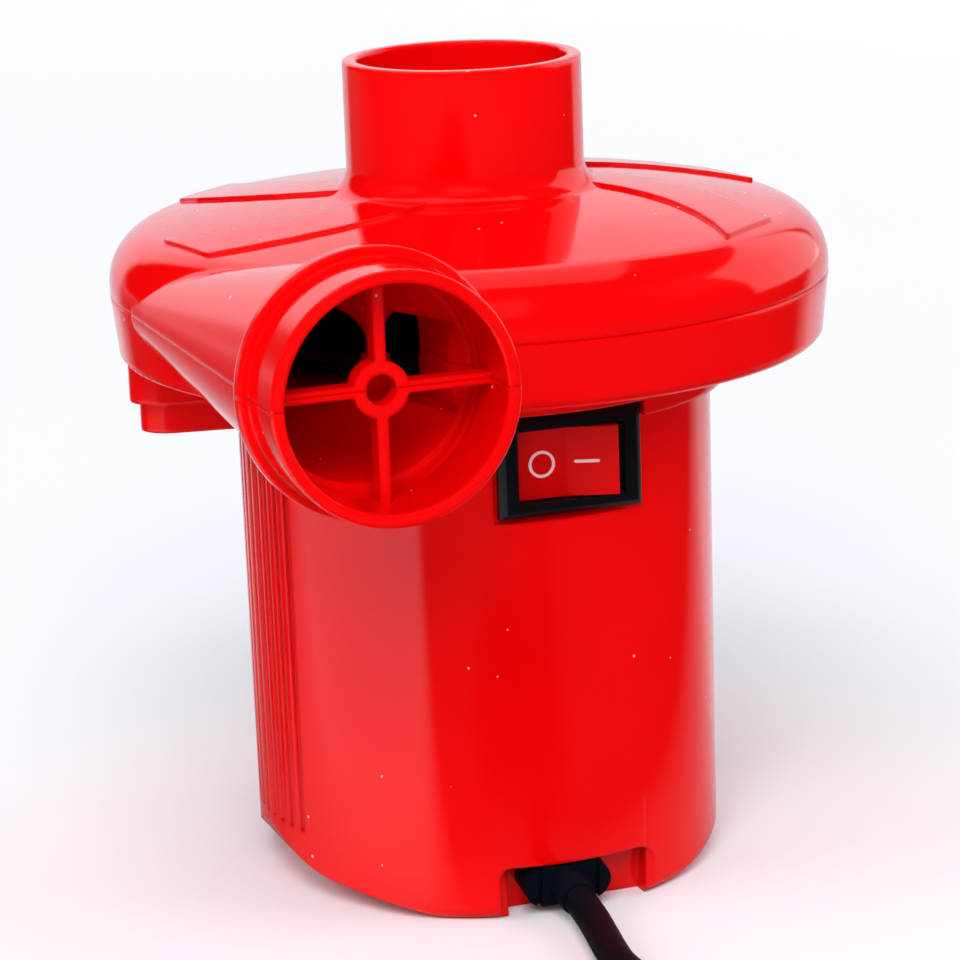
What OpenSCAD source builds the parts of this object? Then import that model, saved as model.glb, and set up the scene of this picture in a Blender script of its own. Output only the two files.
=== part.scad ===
// Electric air pump for air beds: a fan casing with an inlet neck on top and an outlet at its side
// stands on an upright motor housing with a rocker switch and a mains lead.
// The pump axis is Z, the floor is z = 0 and the outlet faces -Y. Sizes are in millimetres.

/* [Fan casing] */
// Height of the split plane between cover and lower shell
seam_z = 86.3; // [84:0.1:90]
// Outer radius of the casing at the split plane
casing_r = 51.5; // [50.5:0.1:54]
// Wall thickness of the moulded shells
wall = 2.1; // [1.8:0.1:2.4]
// Depth of the lower shell's skirt below the split plane
skirt_h = 9.3; // [8.8:0.1:11]
// Inward draft of the skirt at its lower edge
skirt_draft = 1; // [0.2:0.1:1.5]
// Thickness of the floor between fan chamber and motor
floor_t = 2; // [1.6:0.1:2.4]
// Radius of the cover's rounded shoulder
shoulder_r = 8; // [6.5:0.1:8.5]
// Radius of the cover's shallow crown
crown_r = 220; // [190:5:280]
// Rise of the crown's top above the split plane
crown_h = 13.9; // [13.4:0.1:15.5]
// Bevel of the split line on either shell
seam_bevel = 0.3; // [0.1:0.05:0.5]
// Rounding of the skirt's lower edge
skirt_edge_r = 1.2; // [0.6:0.1:1.8]
// Height of the raised blades moulded on the crown
pad_h = 0.45; // [0.3:0.05:0.8]
// Width of a raised blade at its outer end
pad_w = 13.8; // [10:0.1:16]
// Width of a raised blade at the neck
pad_root_w = 9; // [6:0.1:10]
// Turn of a raised blade between its outer end and the neck, in degrees
pad_swirl = 30; // [0:1:40]

/* [Inlet neck] */
// Outer radius of the inlet neck
neck_r = 17; // [16:0.1:18.5]
// Bore radius of the inlet neck
neck_bore_r = 14.9; // [14:0.1:15.2]
// Height of the neck's rim above the split plane
neck_h = 31.6; // [27:0.1:36]
// Fillet between neck and crown
neck_fillet_r = 3.5; // [2:0.1:4.5]
// Rounding of the rims of neck and spigot
rim_r = 0.5; // [0.3:0.05:0.8]
// Depth of the finger guard below the neck's rim
neck_guard_depth = 13.4; // [11:0.1:14]

/* [Outlet] */
// Distance of the outlet axis from the casing's left side
outlet_inset = 16.2; // [15.5:0.1:17]
// Distance from the casing's front to the back of the outlet flange
flange_reach = 9.3; // [7:0.1:14]
// Thickness of the outlet flange
flange_t = 2.5; // [1.8:0.1:3.5]
// Radius of the outlet flange
flange_r = 17.8; // [17.4:0.1:19.5]
// Outer radius of the outlet spigot
spigot_r = 16.4; // [16:0.1:17]
// Bore radius of the outlet spigot
spigot_bore_r = 14.6; // [14:0.1:15.2]
// Length of the spigot in front of the flange
spigot_l = 9.7; // [9:0.1:13]
// Radius of the horn where it leaves the casing
horn_start_r = 5; // [4:0.1:6]
// Depth of the finger guard inside the spigot's rim
guard_inset = 6.6; // [5:0.1:8]
// Thickness of a guard arm
guard_t = 1.5; // [1.2:0.1:2]
// Length of the guard along the air flow
guard_l = 3; // [2:0.1:4]
// Outer radius of the guard's middle ring
guard_ring_r = 3.7; // [3:0.1:4.5]
// Hole radius of the guard's middle ring
guard_hole_r = 2; // [1.5:0.1:2.4]

/* [Lower shell] */
// Outer radius of the collar round the motor housing
collar_r = 36.4; // [36:0.1:37.5]
// Height of the collar below the skirt
collar_h = 6; // [4.5:0.1:7]
// Outer radius of the stepped pocket at its upper step
pocket_r = 49.6; // [47:0.1:50.2]
// How much the pocket's lower step is set back
pocket_step = 1.4; // [1:0.1:2]
// Depth of the pocket's lower step below the collar
pocket_h = 5; // [4:0.1:7]
// Corner radius of the pocket
pocket_corner_r = 5; // [3:0.1:6]

/* [Motor housing] */
// Outer radius of the motor housing at its top
body_r_top = 34.3; // [34:0.1:35]
// Outer radius of the motor housing at the floor
body_r_base = 33.8; // [33.6:0.1:34]
// Half width of the flat part of the base, left to right
base_foot_x = 16; // [15:0.1:18]
// Angle at which the base rises towards the sides
base_rise = 16; // [10:0.5:18]
// Rounding of the base at the sides
base_side_r = 6; // [4:0.1:7]
// Rounding of the base edge at front and back
base_edge_r = 2.5; // [1.5:0.1:3]
// Depth of the recess in the underside
base_recess_h = 2.5; // [1.5:0.1:3]
// Radius of the recess in the underside
base_recess_r = 21; // [18:0.1:22]
// Number of grooves on each side
groove_count = 9; // [5:2:11]
// Angle from groove to groove
groove_pitch = 4.6; // [4:0.1:5]
// Width of a groove
groove_w = 1.1; // [0.8:0.1:1.5]
// Depth of a groove
groove_d = 0.7; // [0.4:0.1:1]
// Height of the grooves' lower ends
groove_z = 10; // [9:0.1:16]
// Width of the cord notch at the front
notch_w = 24; // [22:0.1:24.4]
// Height of the cord notch
notch_h = 7.8; // [7.7:0.1:8.6]

/* [Switch] */
// Offset of the switch to the right
switch_x = 2; // [0:0.1:3]
// Height of the switch's middle
switch_z = 65.5; // [64.8:0.1:66.4]
// Width of the switch bezel
bezel_w = 21; // [20.4:0.1:22]
// Height of the switch bezel
bezel_h = 14.3; // [14:0.1:15]
// Thickness of the switch bezel
bezel_t = 1.8; // [1.4:0.1:2.2]
// Width of the rocker
rocker_w = 14.2; // [13:0.1:14.6]
// Height of the rocker
rocker_h = 9.7; // [9.2:0.1:10]
// Tilt of the rocker to either side
rocker_tilt = 11; // [8:0.5:12]

/* [Fan] */
// Gap between the impeller and the bosses of the cover screws
impeller_gap = 1.3; // [0.9:0.1:5]
// Number of impeller blades
blade_count = 9; // [6:1:11]
// Thickness of an impeller blade
blade_t = 1.4; // [1.2:0.1:2]
// Angle that a blade trails from hub to rim
blade_wrap = 50; // [35:1:60]
// Radius of the blade's curve
blade_arc_r = 30; // [26:1:45]

/* [Motor] */
// Radius of the motor shaft
shaft_r = 2.5; // [2:0.1:3]
// Width of the stator, left to right
stator_w = 48; // [47:0.1:49]
// Depth of the stator, front to back
stator_d = 42; // [40:0.1:43]
// Height of the lamination stack
stator_h = 18; // [15:0.1:19]
// Radius of the armature
armature_r = 12.7; // [12:0.1:13]
// Number of armature slots
slot_count = 12; // [8:1:12]
// Radius of the commutator
commutator_r = 8; // [7:0.1:8.5]
// Distance of the motor screws from the axis
motor_screw_x = 21.5; // [21.3:0.1:21.8]

/* [Mains lead] */
// Diameter of the cord
cord_d = 4.6; // [4.2:0.1:4.8]
// Slope of the cord bushing below the level
bushing_tilt = 12; // [10:1:12]
// Width of the cord bushing's head
bushing_w = 12.8; // [11.6:0.1:13]
// Number of turns in the stored coil
coil_turns = 7; // [6:1:7]
// Diameter of a plug pin
pin_d = 4; // [3.6:0.1:4.8]
// Distance between the plug pins
pin_spacing = 18.6; // [17.5:0.1:19]
// Length of the plug pins
pin_l = 19; // [17:0.1:20]

/* [Hidden] */
$fn = 96;

// Fits
fit_gap = 0.15;
// Longer than the pump is wide or tall
far = 150;
close_gap = 0.03;
screw_gap = 0.2;
thread_gap = 0.05;
cut = 1;

// Levels of the casing
floor_bottom_z = seam_z - skirt_h;
floor_top_z = floor_bottom_z + floor_t;
collar_z = floor_bottom_z - collar_h;
pocket_z = collar_z - pocket_h;
pocket_lap = 0.5;
pocket_from_az = 98;
pocket_to_az = 172;
crown_z = seam_z + crown_h - crown_r;
neck_top_z = seam_z + neck_h;
shoulder_z = crown_z + sqrt(pow(crown_r - shoulder_r, 2) - pow(casing_r - shoulder_r, 2));
crown_edge_r = (casing_r - shoulder_r) * crown_r / (crown_r - shoulder_r);
neck_foot_z = crown_z + sqrt(pow(crown_r + neck_fillet_r, 2) - pow(neck_r + neck_fillet_r, 2));
neck_foot_r = (neck_r + neck_fillet_r) * crown_r / (crown_r + neck_fillet_r);
pad_az = [190.5, 130.5, 70.5, 10.5, -49.5];
pad_out_r = crown_edge_r + 0.4;
pad_in_r = neck_r + 1;
pad_steps = 6;

// Horn and spigot
outlet_x = casing_r - outlet_inset;
flange_y = casing_r + flange_reach;
horn_r = casing_r - outlet_x;
horn_start = [-(casing_r - horn_start_r), -4, seam_z];
horn_end = [-outlet_x, -flange_y, seam_z];
horn_l = norm(horn_end - horn_start);
horn_az = atan2(horn_end[1] - horn_start[1], horn_end[0] - horn_start[0]);
horn_overrun = 8;
horn_slope = (horn_r - horn_start_r) / horn_l;
mouth_w = 14.8;
mouth_h = 16;
mouth_from_y = casing_r - 9;
spigot_y = flange_y + flange_t + spigot_l;
guard_y = spigot_y - guard_inset;

// Screws
screw_r = 1.5;
screw_head_r = 2.7;
screw_head_h = 1.7;
cover_screw_az = [75, 25, -25, -75];
cover_boss_r = 3;
cover_screw_pcr = casing_r - wall - cover_boss_r - 0.1;
impeller_r = cover_screw_pcr - cover_boss_r - impeller_gap;
cover_screw_l = 10;
housing_boss_r = 3.2;
housing_screw_az = [0, 90, 180];
housing_screw_pcr = body_r_top - wall - housing_boss_r + 0.8;
housing_screw_l = 12;
housing_boss_l = 15;

// Motor housing
body_h = floor_bottom_z;
base_t = base_recess_h + wall;
body_slope = (body_r_top - body_r_base) / body_h;
side_corner_x = (body_r_base - base_side_r
  + body_slope * (base_side_r - base_foot_x * sin(base_rise)) / cos(base_rise))
  / (1 - body_slope * tan(base_rise));
side_corner = [
  side_corner_x, (base_side_r + (side_corner_x - base_foot_x) * sin(base_rise)) / cos(base_rise)
];
body_draft = atan(body_slope);
body_r_most = max(body_r_top, body_r_base);
seat_depth = 1.725;
seat_y = seat_depth - body_r_base - body_slope * switch_z;
seat_back_y = seat_y + wall;
pocket_roof_z = 15;
pocket_w = notch_w - 3;
pocket_front_y = body_r_base - wall - 0.5;
notch_x = 2.2;
notch_corner_r = [1.4, 3.5];
vent_w = 2.4;
vent_count = 5;
vent_pitch = 5.5;
vent_l = 20;

// Switch
box_w = bezel_w - 2.2;
box_h = bezel_h - 2;
box_depth = 12.4;
pivot_y = seat_y + 1;
pivot_r = 1.1;
rocker_gap = 0.3;
rocker_end_v = 2.6;
rocker_valley_v = 1.5;
rocker_root_w = 4;
rocker_root_v = 5;
rocker_reach = norm([rocker_w / 2, rocker_end_v]) + rocker_gap;
cavity_depth = norm([rocker_root_w, rocker_root_v]) + rocker_gap;
terminal_x = 4.5;
terminal_t = 0.8;
terminal_w = 4.8;
terminal_l = 7;
bezel_front_y = seat_y - bezel_t;
bezel_chamfer = 0.9;

// Motor levels
plate_t = 2;
lower_post_h = 13.5;
upper_post_h = 7.5;
lower_bracket_z = 17.5;
lower_plate_top_z = lower_bracket_z + plate_t;
stator_z = lower_plate_top_z + lower_post_h;
stator_top_z = stator_z + stator_h;
upper_bracket_z = stator_top_z + upper_post_h;
upper_plate_top_z = upper_bracket_z + plate_t;
boss_h = 6;
boss_r = 7.5;
bearing_r = shaft_r + 3;
post_r = 2.3;
column_r = 4;
stator_corner_r = body_r_base - wall - 0.9;
stator_bore_r = armature_r + 0.5;
coil_in_r = stator_bore_r + 2;
coil_out_r = motor_screw_x - post_r - 0.8;
coil_gap = 0.2;
coil_overhang = 4;
coil_half_az = 78;
pole_half_az = 50;
slot_w = 2.6;
slot_depth = 4.4;
slot_gap = 0.2;
winding_l = 3.6;
winding_in_r = shaft_r + 1.2;
winding_out_r = armature_r - 1;
commutator_z = lower_plate_top_z + 1;
commutator_h = stator_z - winding_l - commutator_z - 0.5;
brush_w = 5;
brush_z = commutator_z + commutator_h / 2;
holder_wall = 1.4;
holder_in_r = commutator_r + 1.4;
holder_out_r = motor_screw_x - post_r - 0.6;
brush_l = 7;
brush_in_r = commutator_r + 0.1;
cap_t = 0.6;
screw_end_z = 9;
bracket_w = brush_w + 2 * holder_wall + 5;

// Fan levels
impeller_z = floor_top_z + 3;
impeller_plate_t = 1.6;
hub_r = 6.5;
hub_h = 11.5;
blade_in_r = 11;
blade_h_in = 9.2;
blade_h_out = 7;
nut_af = 8;
nut_h = 3.4;
hub_top_z = impeller_z + hub_h;
shaft_end_z = lower_bracket_z - boss_h + 0.5;
shaft_top_z = hub_top_z + nut_h + 1;

// Wires inside the housing: past the stator to the switch, and to either end of a field coil
switch_wire = [[-7, -20, 19], [-8.5, -25.5, 26], [-8.5, -25.5, 42], [-8, -24, 52], [-5, -16, 57]];
coil_wire_x = 3.9;
upper_coil_wire = [5, -13.5, 58];
lower_coil_wire = [[3.5, -14.5, 19], [coil_wire_x, -15.9, 24]];

// Cord bushing, in its own axis, with its head's face at the point named here
bushing_face = [0, 0.6 - body_r_base, 4.25];
head_l = 5;
barrel_l = 7;
barrel_r = 2.7;
head_r = 3;
nose_l = 4;
nose_r = 2.9;
nose_tip_r = cord_d / 2 + 0.3;
bushing_dir = [0, -cos(bushing_tilt), -sin(bushing_tilt)];
bushing_groove_w = 0.7;

// Cord on the floor
cord_r = cord_d / 2;
coil_c = [-14, -126];
coil_pitch = cord_d + 0.5;
coil_mean_r = 27;
coil_span = coil_turns;
coil_min_r = coil_mean_r - coil_pitch * coil_span / 4;
coil_low_z = cord_r + 1.1;
coil_rings = 24;
coil_end_l = cord_d;
lead_end = [coil_c[0] + coil_r(0), coil_c[1] + coil_end_l, coil_low_z];
cord_route = concat(
  [for (l = [0, 2.5]) bushing_face + (nose_l + l) * bushing_dir],
  [
    [-0.4, -44, 2.5], [-1.3, -49.5, cord_r + 0.03], [-2.3, -55, cord_r + 0.03], [-3, -60.5, cord_r + 0.03],
    [-2.8, -66.5, cord_r + 0.03], [-1.3, -73, 2.4], [2.9, -80.1, 2.5], [9.4, -85.7, 2.75],
    [16, -91.3, 3], [20.4, -98.8, 3.25]
  ],
  [for (l = [14, 7, 0]) lead_end + [0, l, 0]]
);
tail_from = coil_point(coil_span) + coil_end_l * coil_heading(coil_span);
tail_dir = coil_heading(coil_span);
plug_z = 7.1;
tail_l = 18;
relief_l = 14;
plug_at = [tail_from[0] + tail_l * tail_dir[0], tail_from[1] + tail_l * tail_dir[1], plug_z];
tail_route = [for (s = [0, 0.15, 0.35, 0.65, 0.85, 1])
  [
    tail_from[0] + s * tail_l * tail_dir[0],
    tail_from[1] + s * tail_l * tail_dir[1],
    tail_from[2] + (plug_z - tail_from[2]) * ease(max(0, min(1, (s - 0.15) / 0.7)))
  ]];
plug_w = 35;
plug_t = 13.6;
plug_l = 30;
tie_w = 8;
tie_t = 0.8;
tie_gap = 0.3;
tie_az = -90;
lead_wire_r = 0.9;

function ease(s) = s * s * (3 - 2 * s);
function unit(v) = v / norm(v);
function polar(r, az, z = 0) = [r * cos(az), r * sin(az), z];
function polar2(r, az) = [r * cos(az), r * sin(az)];

// Radius, height, place and heading along the coil, t being counted in turns
function coil_r(t) = coil_min_r + coil_pitch * abs(t - coil_span / 2);
function coil_z(t) = coil_low_z + coil_pitch * ease(max(0, min(1, 2 * (t - coil_span / 2) + 0.5)));
function coil_point(t) = [
  coil_c[0] + coil_r(t) * cos(-360 * t),
  coil_c[1] + coil_r(t) * sin(-360 * t),
  coil_z(t)
];
function coil_heading(t) = [sin(-360 * t), -cos(-360 * t), 0];
coil_steps = round(coil_span * coil_rings);
coil_turn_points = [for (i = [0 : coil_steps]) coil_point(coil_span * i / coil_steps)];
coil_path = concat(
  [lead_end, lead_end - [0, coil_end_l / 2, 0]],
  coil_turn_points,
  [tail_from - coil_end_l / 2 * tail_dir, tail_from]
);
coil_gaps = [
  for (i = [0 : coil_steps])
    for (j = [i + coil_rings / 2 : 1 : coil_steps])
      norm(coil_turn_points[i] - coil_turn_points[j]) - cord_d
];
echo(least_gap_between_turns = min(coil_gaps));

// Tube swept along a path, with n sides, its ends square to the path
function path_dirs(p) = [
  for (i = [0 : len(p) - 1]) unit(p[min(i + 1, len(p) - 1)] - p[max(i - 1, 0)])
];
function ring(c, t, up, r, n) =
  let (s = unit(cross(up, t)), w = cross(t, s))
  [for (k = [0 : n - 1]) c + r * (cos(360 * k / n) * s + sin(360 * k / n) * w)];
module tube(path, r, n, up = [0, 0, 1]) {
  dirs = path_dirs(path);
  m = len(path);
  points = [for (i = [0 : m - 1]) each ring(path[i], dirs[i], up, r, n)];
  sides = [
    for (i = [0 : m - 2], k = [0 : n - 1])
      let (a = i * n + k, b = i * n + (k + 1) % n)
      each [[a, a + n, b], [b, a + n, b + n]]
  ];
  first_cap = [for (k = [1 : n - 2]) [0, k, k + 1]];
  last_cap = [for (k = [1 : n - 2]) [(m - 1) * n, (m - 1) * n + k + 1, (m - 1) * n + k]];
  polyhedron(points, concat(sides, first_cap, last_cap), convexity = 10);
}

// Ring sector between two radii and two angles
module sector(r0, r1, az0, az1, z0, h) {
  rotate([0, 0, az0])
    rotate_extrude(angle = az1 - az0)
      translate([r0, z0]) square([r1 - r0, h]);
}

module at_az(r, az) {
  translate(polar(r, az)) rotate([0, 0, az]) children();
}

// What a rounded corner takes off a section. The material lies towards -sx and -sz of the corner
module corner_cut(x, z, sx, sz, r) {
  difference() {
    translate([sx > 0 ? x - r : x - 0.1, sz > 0 ? z - r : z - 0.1]) square(r + 0.1);
    translate([x - sx * r, z - sz * r]) circle(r = r, $fn = 32);
  }
}

// Rounded mouth of a bore of the given radius that ends at height z
module bore_mouth(r, z) {
  difference() {
    translate([r - 0.1, z - rim_r]) square([rim_r + 0.1, rim_r + cut]);
    translate([r + rim_r, z - rim_r]) circle(r = rim_r, $fn = 32);
  }
}

// Half section of the cover, set in from its outside by the given wall
module cover_section(inset, base_z) {
  intersection() {
    translate([0, crown_z]) circle(r = crown_r - inset, $fn = 400);
    translate([0, base_z])
      square([crown_edge_r * (crown_r - inset) / crown_r, crown_h + shoulder_r]);
  }
  intersection() {
    translate([casing_r - shoulder_r, shoulder_z]) circle(r = shoulder_r - inset);
    translate([0, base_z]) square([casing_r, shoulder_z + shoulder_r - base_z]);
  }
  translate([0, base_z]) square([casing_r - inset, shoulder_z - base_z]);
}

// What the bevel at the split line takes off the cover's or the lower shell's section
module seam_cut(dir) {
  reach = 1;
  polygon([
    [casing_r - seam_bevel, seam_z - dir * 0.01],
    [casing_r + reach, seam_z - dir * 0.01],
    [casing_r + reach, seam_z + dir * (reach + seam_bevel)]
  ]);
}

// Neck with its foot fillet, solid
module neck_section() {
  difference() {
    translate([0, neck_foot_z - neck_fillet_r - 2])
      square([neck_r, neck_top_z - neck_foot_z + neck_fillet_r + 2]);
    corner_cut(neck_r, neck_top_z, 1, 1, rim_r);
  }
  difference() {
    translate([0, neck_foot_z - neck_fillet_r - 2])
      square([neck_foot_r, neck_fillet_r + 2]);
    translate([neck_r + neck_fillet_r, neck_foot_z]) circle(r = neck_fillet_r);
  }
}

// One raised blade of the crown, swept round as it nears the neck
module pad_outline(az) {
  side = function (sign) [
    for (i = [0 : pad_steps])
      let (
        s = i / pad_steps,
        r = pad_out_r + s * (pad_in_r - pad_out_r),
        w = pad_w + s * (pad_root_w - pad_w),
        mid = az + s * pad_swirl
      )
      [r * cos(mid + sign * asin(w / 2 / r)), r * sin(mid + sign * asin(w / 2 / r))]
  ];
  left = side(1);
  right = side(-1);
  polygon(concat(left, [for (i = [pad_steps : -1 : 0]) right[i]]));
}

module pads() {
  intersection() {
    rotate_extrude()
      intersection() {
        translate([0, crown_z]) circle(r = crown_r + pad_h, $fn = 400);
        translate([0, seam_z + shoulder_r / 2]) square([crown_edge_r + 0.2, crown_h + pad_h]);
      }
    translate([0, 0, seam_z])
      linear_extrude(crown_h + 5)
        for (az = pad_az) pad_outline(az);
  }
}

// Level axis through a point, with local z along the azimuth and local y upwards
module along(from, az) {
  translate(from) rotate([90, 0, az + 90]) children();
}

// Upper or lower half of a turned piece whose axis lies in the split plane
module half_turn(upper) {
  rotate([0, 0, upper ? 0 : 180]) rotate_extrude(angle = 180) children();
}

module horn_section(inset) {
  polygon([
    [0, 0], [horn_start_r - inset, 0],
    [horn_r - inset + horn_overrun * horn_slope, horn_l + horn_overrun], [0, horn_l + horn_overrun]
  ]);
}

module behind_flange_middle() {
  translate([-far, -flange_y - flange_t / 2, seam_z - far]) cube([2 * far, far, 2 * far]);
}

// Horn, which widens from the casing to the flange along the casing's outer side, the mouth that
// opens the casing behind the flange, and the spigot
module outlet_outside(upper) {
  intersection() {
    along(horn_start, horn_az) half_turn(upper) horn_section(0);
    behind_flange_middle();
  }
  along(horn_end, -90)
    half_turn(upper)
      difference() {
        union() {
          square([flange_r, flange_t]);
          square([spigot_r, flange_t + spigot_l]);
        }
        corner_cut(flange_r, flange_t, 1, 1, rim_r);
        corner_cut(flange_r, 0, 1, -1, rim_r);
        corner_cut(spigot_r, flange_t + spigot_l, 1, 1, rim_r);
      }
  translate([-outlet_x + 2, -flange_y - 0.7, upper ? seam_z : seam_z - mouth_h / 2])
    cube([mouth_w - 2, flange_y + 0.7 - mouth_from_y, mouth_h / 2]);
}

module outlet_inside() {
  intersection() {
    along(horn_start, horn_az) rotate([0, 0, 45]) rotate_extrude() horn_section(wall);
    behind_flange_middle();
  }
  along(horn_end + [0, 2, 0], -90)
    rotate([0, 0, 45])
      rotate_extrude() {
        square([spigot_bore_r, 2 + flange_t + spigot_l + cut]);
        bore_mouth(spigot_bore_r, 2 + flange_t + spigot_l);
      }
  translate([-outlet_x + 1, -flange_y, seam_z - mouth_h / 2 + wall])
    cube([mouth_w - 1 - wall, flange_y + cut - mouth_from_y, mouth_h - 2 * wall]);
}

// Arm of a finger guard, from the middle ring into the wall of the bore
module guard_arm(bore_r, from_t, to_t) {
  inner_r = guard_ring_r - 0.4;
  translate([inner_r, from_t, 0]) cube([bore_r + wall / 2 - inner_r, to_t - from_t, guard_l]);
}

module guard_ring_section() {
  translate([guard_hole_r, 0]) square([guard_ring_r - guard_hole_r, guard_l]);
}

module neck_guard() {
  translate([0, 0, neck_top_z - neck_guard_depth - guard_l]) {
    rotate_extrude($fn = 48) guard_ring_section();
    for (az = [0, 90, 180, 270])
      rotate([0, 0, az]) guard_arm(neck_bore_r, -guard_t / 2, guard_t / 2);
  }
}

// Half of the outlet's guard, whose level arms are split between the two shells
module outlet_guard(upper) {
  along([-outlet_x, -guard_y + guard_l, seam_z], -90) {
    half_turn(upper) guard_ring_section();
    rotate([0, 0, upper ? 0 : 180]) {
      rotate([0, 0, 90]) guard_arm(spigot_bore_r, -guard_t / 2, guard_t / 2);
      guard_arm(spigot_bore_r, 0, guard_t / 2);
      rotate([0, 0, 180]) guard_arm(spigot_bore_r, -guard_t / 2, 0);
    }
  }
}

module chamber() {
  rotate_extrude() cover_section(wall, seam_z - cut);
  translate([0, 0, floor_top_z]) cylinder(h = seam_z - floor_top_z, r = casing_r - wall - skirt_draft / 2);
}

module top_cover() {
  boss_top_z = shoulder_z
    + sqrt(pow(shoulder_r - wall / 2, 2) - pow(cover_screw_pcr + cover_boss_r - casing_r + shoulder_r, 2));
  color("red") {
    difference() {
      union() {
        rotate_extrude() {
          difference() {
            cover_section(0, seam_z);
            seam_cut(1);
          }
          neck_section();
        }
        pads();
        outlet_outside(true);
      }
      chamber();
      rotate_extrude() {
        translate([0, seam_z]) square([neck_bore_r, neck_h + cut]);
        bore_mouth(neck_bore_r, neck_top_z);
      }
      outlet_inside();
    }
    neck_guard();
    outlet_guard(true);
    for (az = cover_screw_az)
      at_az(cover_screw_pcr, az)
        difference() {
          translate([0, 0, seam_z]) cylinder(h = boss_top_z - seam_z, r = cover_boss_r, $fn = 48);
          translate([0, 0, seam_z - cut])
            cylinder(h = cover_screw_l - skirt_h + 4 + cut, r = screw_r + thread_gap, $fn = 32);
        }
  }
}

// Outline of the pocket: a ring sector with rounded outer corners
module pocket_outline(r0, r1, corner, az0, az1) {
  turn = asin(corner / (r1 - corner));
  difference() {
    union() {
      intersection() {
        circle(r = r1 - corner);
        wedge(2 * r1, az0, az1);
      }
      intersection() {
        circle(r = r1);
        wedge(2 * r1, az0 + turn, az1 - turn);
      }
      for (az = [az0 + turn, az1 - turn])
        translate(polar2(r1 - corner, az)) circle(r = corner);
    }
    circle(r = r0);
  }
}

module wedge(r, az0, az1) {
  polygon([[0, 0], polar2(r, az0), polar2(r, (az0 + az1) / 2), polar2(r, az1)]);
}

module pocket_outside() {
  translate([0, 0, collar_z - pocket_lap])
    linear_extrude(collar_h + pocket_lap + floor_t / 2)
      pocket_outline(body_r_top, pocket_r, pocket_corner_r, pocket_from_az, pocket_to_az);
  translate([0, 0, pocket_z])
    linear_extrude(pocket_h + floor_t / 2)
      pocket_outline(body_r_top, pocket_r - pocket_step, pocket_corner_r - pocket_step / 2,
        pocket_from_az + 2, pocket_to_az - 2);
}

module pocket_inside() {
  turn = 5.5;
  translate([0, 0, pocket_z + wall])
    linear_extrude(floor_top_z - pocket_z - wall + cut)
      pocket_outline(collar_r + 0.2, pocket_r - pocket_step - wall, pocket_corner_r - wall,
        pocket_from_az + turn, pocket_to_az - turn);
}

module skirt_section() {
  difference() {
    polygon([
      [0, floor_bottom_z], [casing_r - skirt_draft, floor_bottom_z],
      [casing_r, seam_z], [0, seam_z]
    ]);
    corner_cut(casing_r - skirt_draft, floor_bottom_z, 1, -1, skirt_edge_r);
    seam_cut(-1);
  }
}

module lower_shell() {
  socket_r = body_r_top + fit_gap;
  color("red")
    difference() {
      union() {
        difference() {
          union() {
            rotate_extrude() skirt_section();
            translate([0, 0, collar_z]) cylinder(h = collar_h + cut, r = collar_r);
            pocket_outside();
            outlet_outside(false);
          }
          chamber();
          outlet_inside();
          pocket_inside();
        }
        outlet_guard(false);
        for (az = cover_screw_az)
          at_az(cover_screw_pcr, az)
            translate([0, 0, floor_bottom_z + floor_t / 2])
              cylinder(h = skirt_h - floor_t / 2, r = cover_boss_r, $fn = 48);
      }
      translate([0, 0, pocket_z - cut])
        cylinder(h = floor_bottom_z - pocket_z + cut, r = socket_r);
      translate([0, 0, floor_bottom_z - cut])
        cylinder(h = floor_t + 2 * cut, r = shaft_r + 2, $fn = 48);
      translate([switch_x - bezel_w / 2 - 0.5, -collar_r - cut, collar_z - cut])
        cube([bezel_w + 1, collar_r, switch_z + bezel_h / 2 + 0.5 - collar_z + cut]);
      for (az = cover_screw_az)
        at_az(cover_screw_pcr, az) {
          translate([0, 0, floor_bottom_z - cut])
            cylinder(h = skirt_h + 2 * cut, r = screw_r + screw_gap, $fn = 32);
          translate([0, 0, floor_bottom_z - cut])
            cylinder(h = cut + screw_head_h + 0.5, r = screw_head_r + screw_gap, $fn = 32);
        }
      for (az = housing_screw_az)
        at_az(housing_screw_pcr, az)
          translate([0, 0, floor_bottom_z - cut])
            cylinder(h = floor_t + 2 * cut, r = screw_r + screw_gap, $fn = 32);
    }
}

// Revolved outside of the motor housing, set in by the given wall, from a base level upwards
module body_revolve(inset, base_z, edge_r) {
  low_r = body_r_base + body_slope * (base_z + edge_r) - inset;
  rotate_extrude() {
    polygon([
      [0, base_z + edge_r], [low_r, base_z + edge_r],
      [body_r_top - inset, body_h], [0, body_h]
    ]);
    translate([0, base_z]) square([low_r - edge_r, 2 * edge_r]);
    translate([low_r - edge_r, base_z + edge_r]) circle(r = edge_r);
  }
}

// Slab along Y whose underside rises towards rounded sides
module side_rounding() {
  turn = side_corner + base_side_r * [sin(base_rise), -cos(base_rise)];
  low_x = base_foot_x - 1 / tan(base_rise);
  rotate([90, 0, 0])
    translate([0, 0, -far])
      linear_extrude(2 * far) {
        translate([-far, side_corner[1]]) square([2 * far, body_h]);
        polygon([
          [-low_x, -1], [low_x, -1], turn, side_corner,
          [-side_corner[0], side_corner[1]], [-turn[0], turn[1]]
        ]);
        for (x = [-1, 1])
          translate([x * side_corner[0], side_corner[1]]) circle(r = base_side_r);
      }
}

module body_outside() {
  intersection() {
    body_revolve(0, 0, base_edge_r);
    side_rounding();
  }
}

module body_inside() {
  low_x = base_foot_x + 4;
  low_z = base_t - 1;
  side_z = low_z + (far - low_x) * tan(base_rise + 5);
  intersection() {
    body_revolve(wall, base_t, base_edge_r / 2);
    rotate([90, 0, 0])
      translate([0, 0, -far])
        linear_extrude(2 * far)
          polygon([
            [-low_x, low_z], [low_x, low_z], [far, side_z],
            [far, 2 * body_h], [-far, 2 * body_h], [-far, side_z]
          ]);
  }
}

module along_bushing() {
  translate(bushing_face) rotate([90 + bushing_tilt, 0, 0]) children();
}

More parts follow.
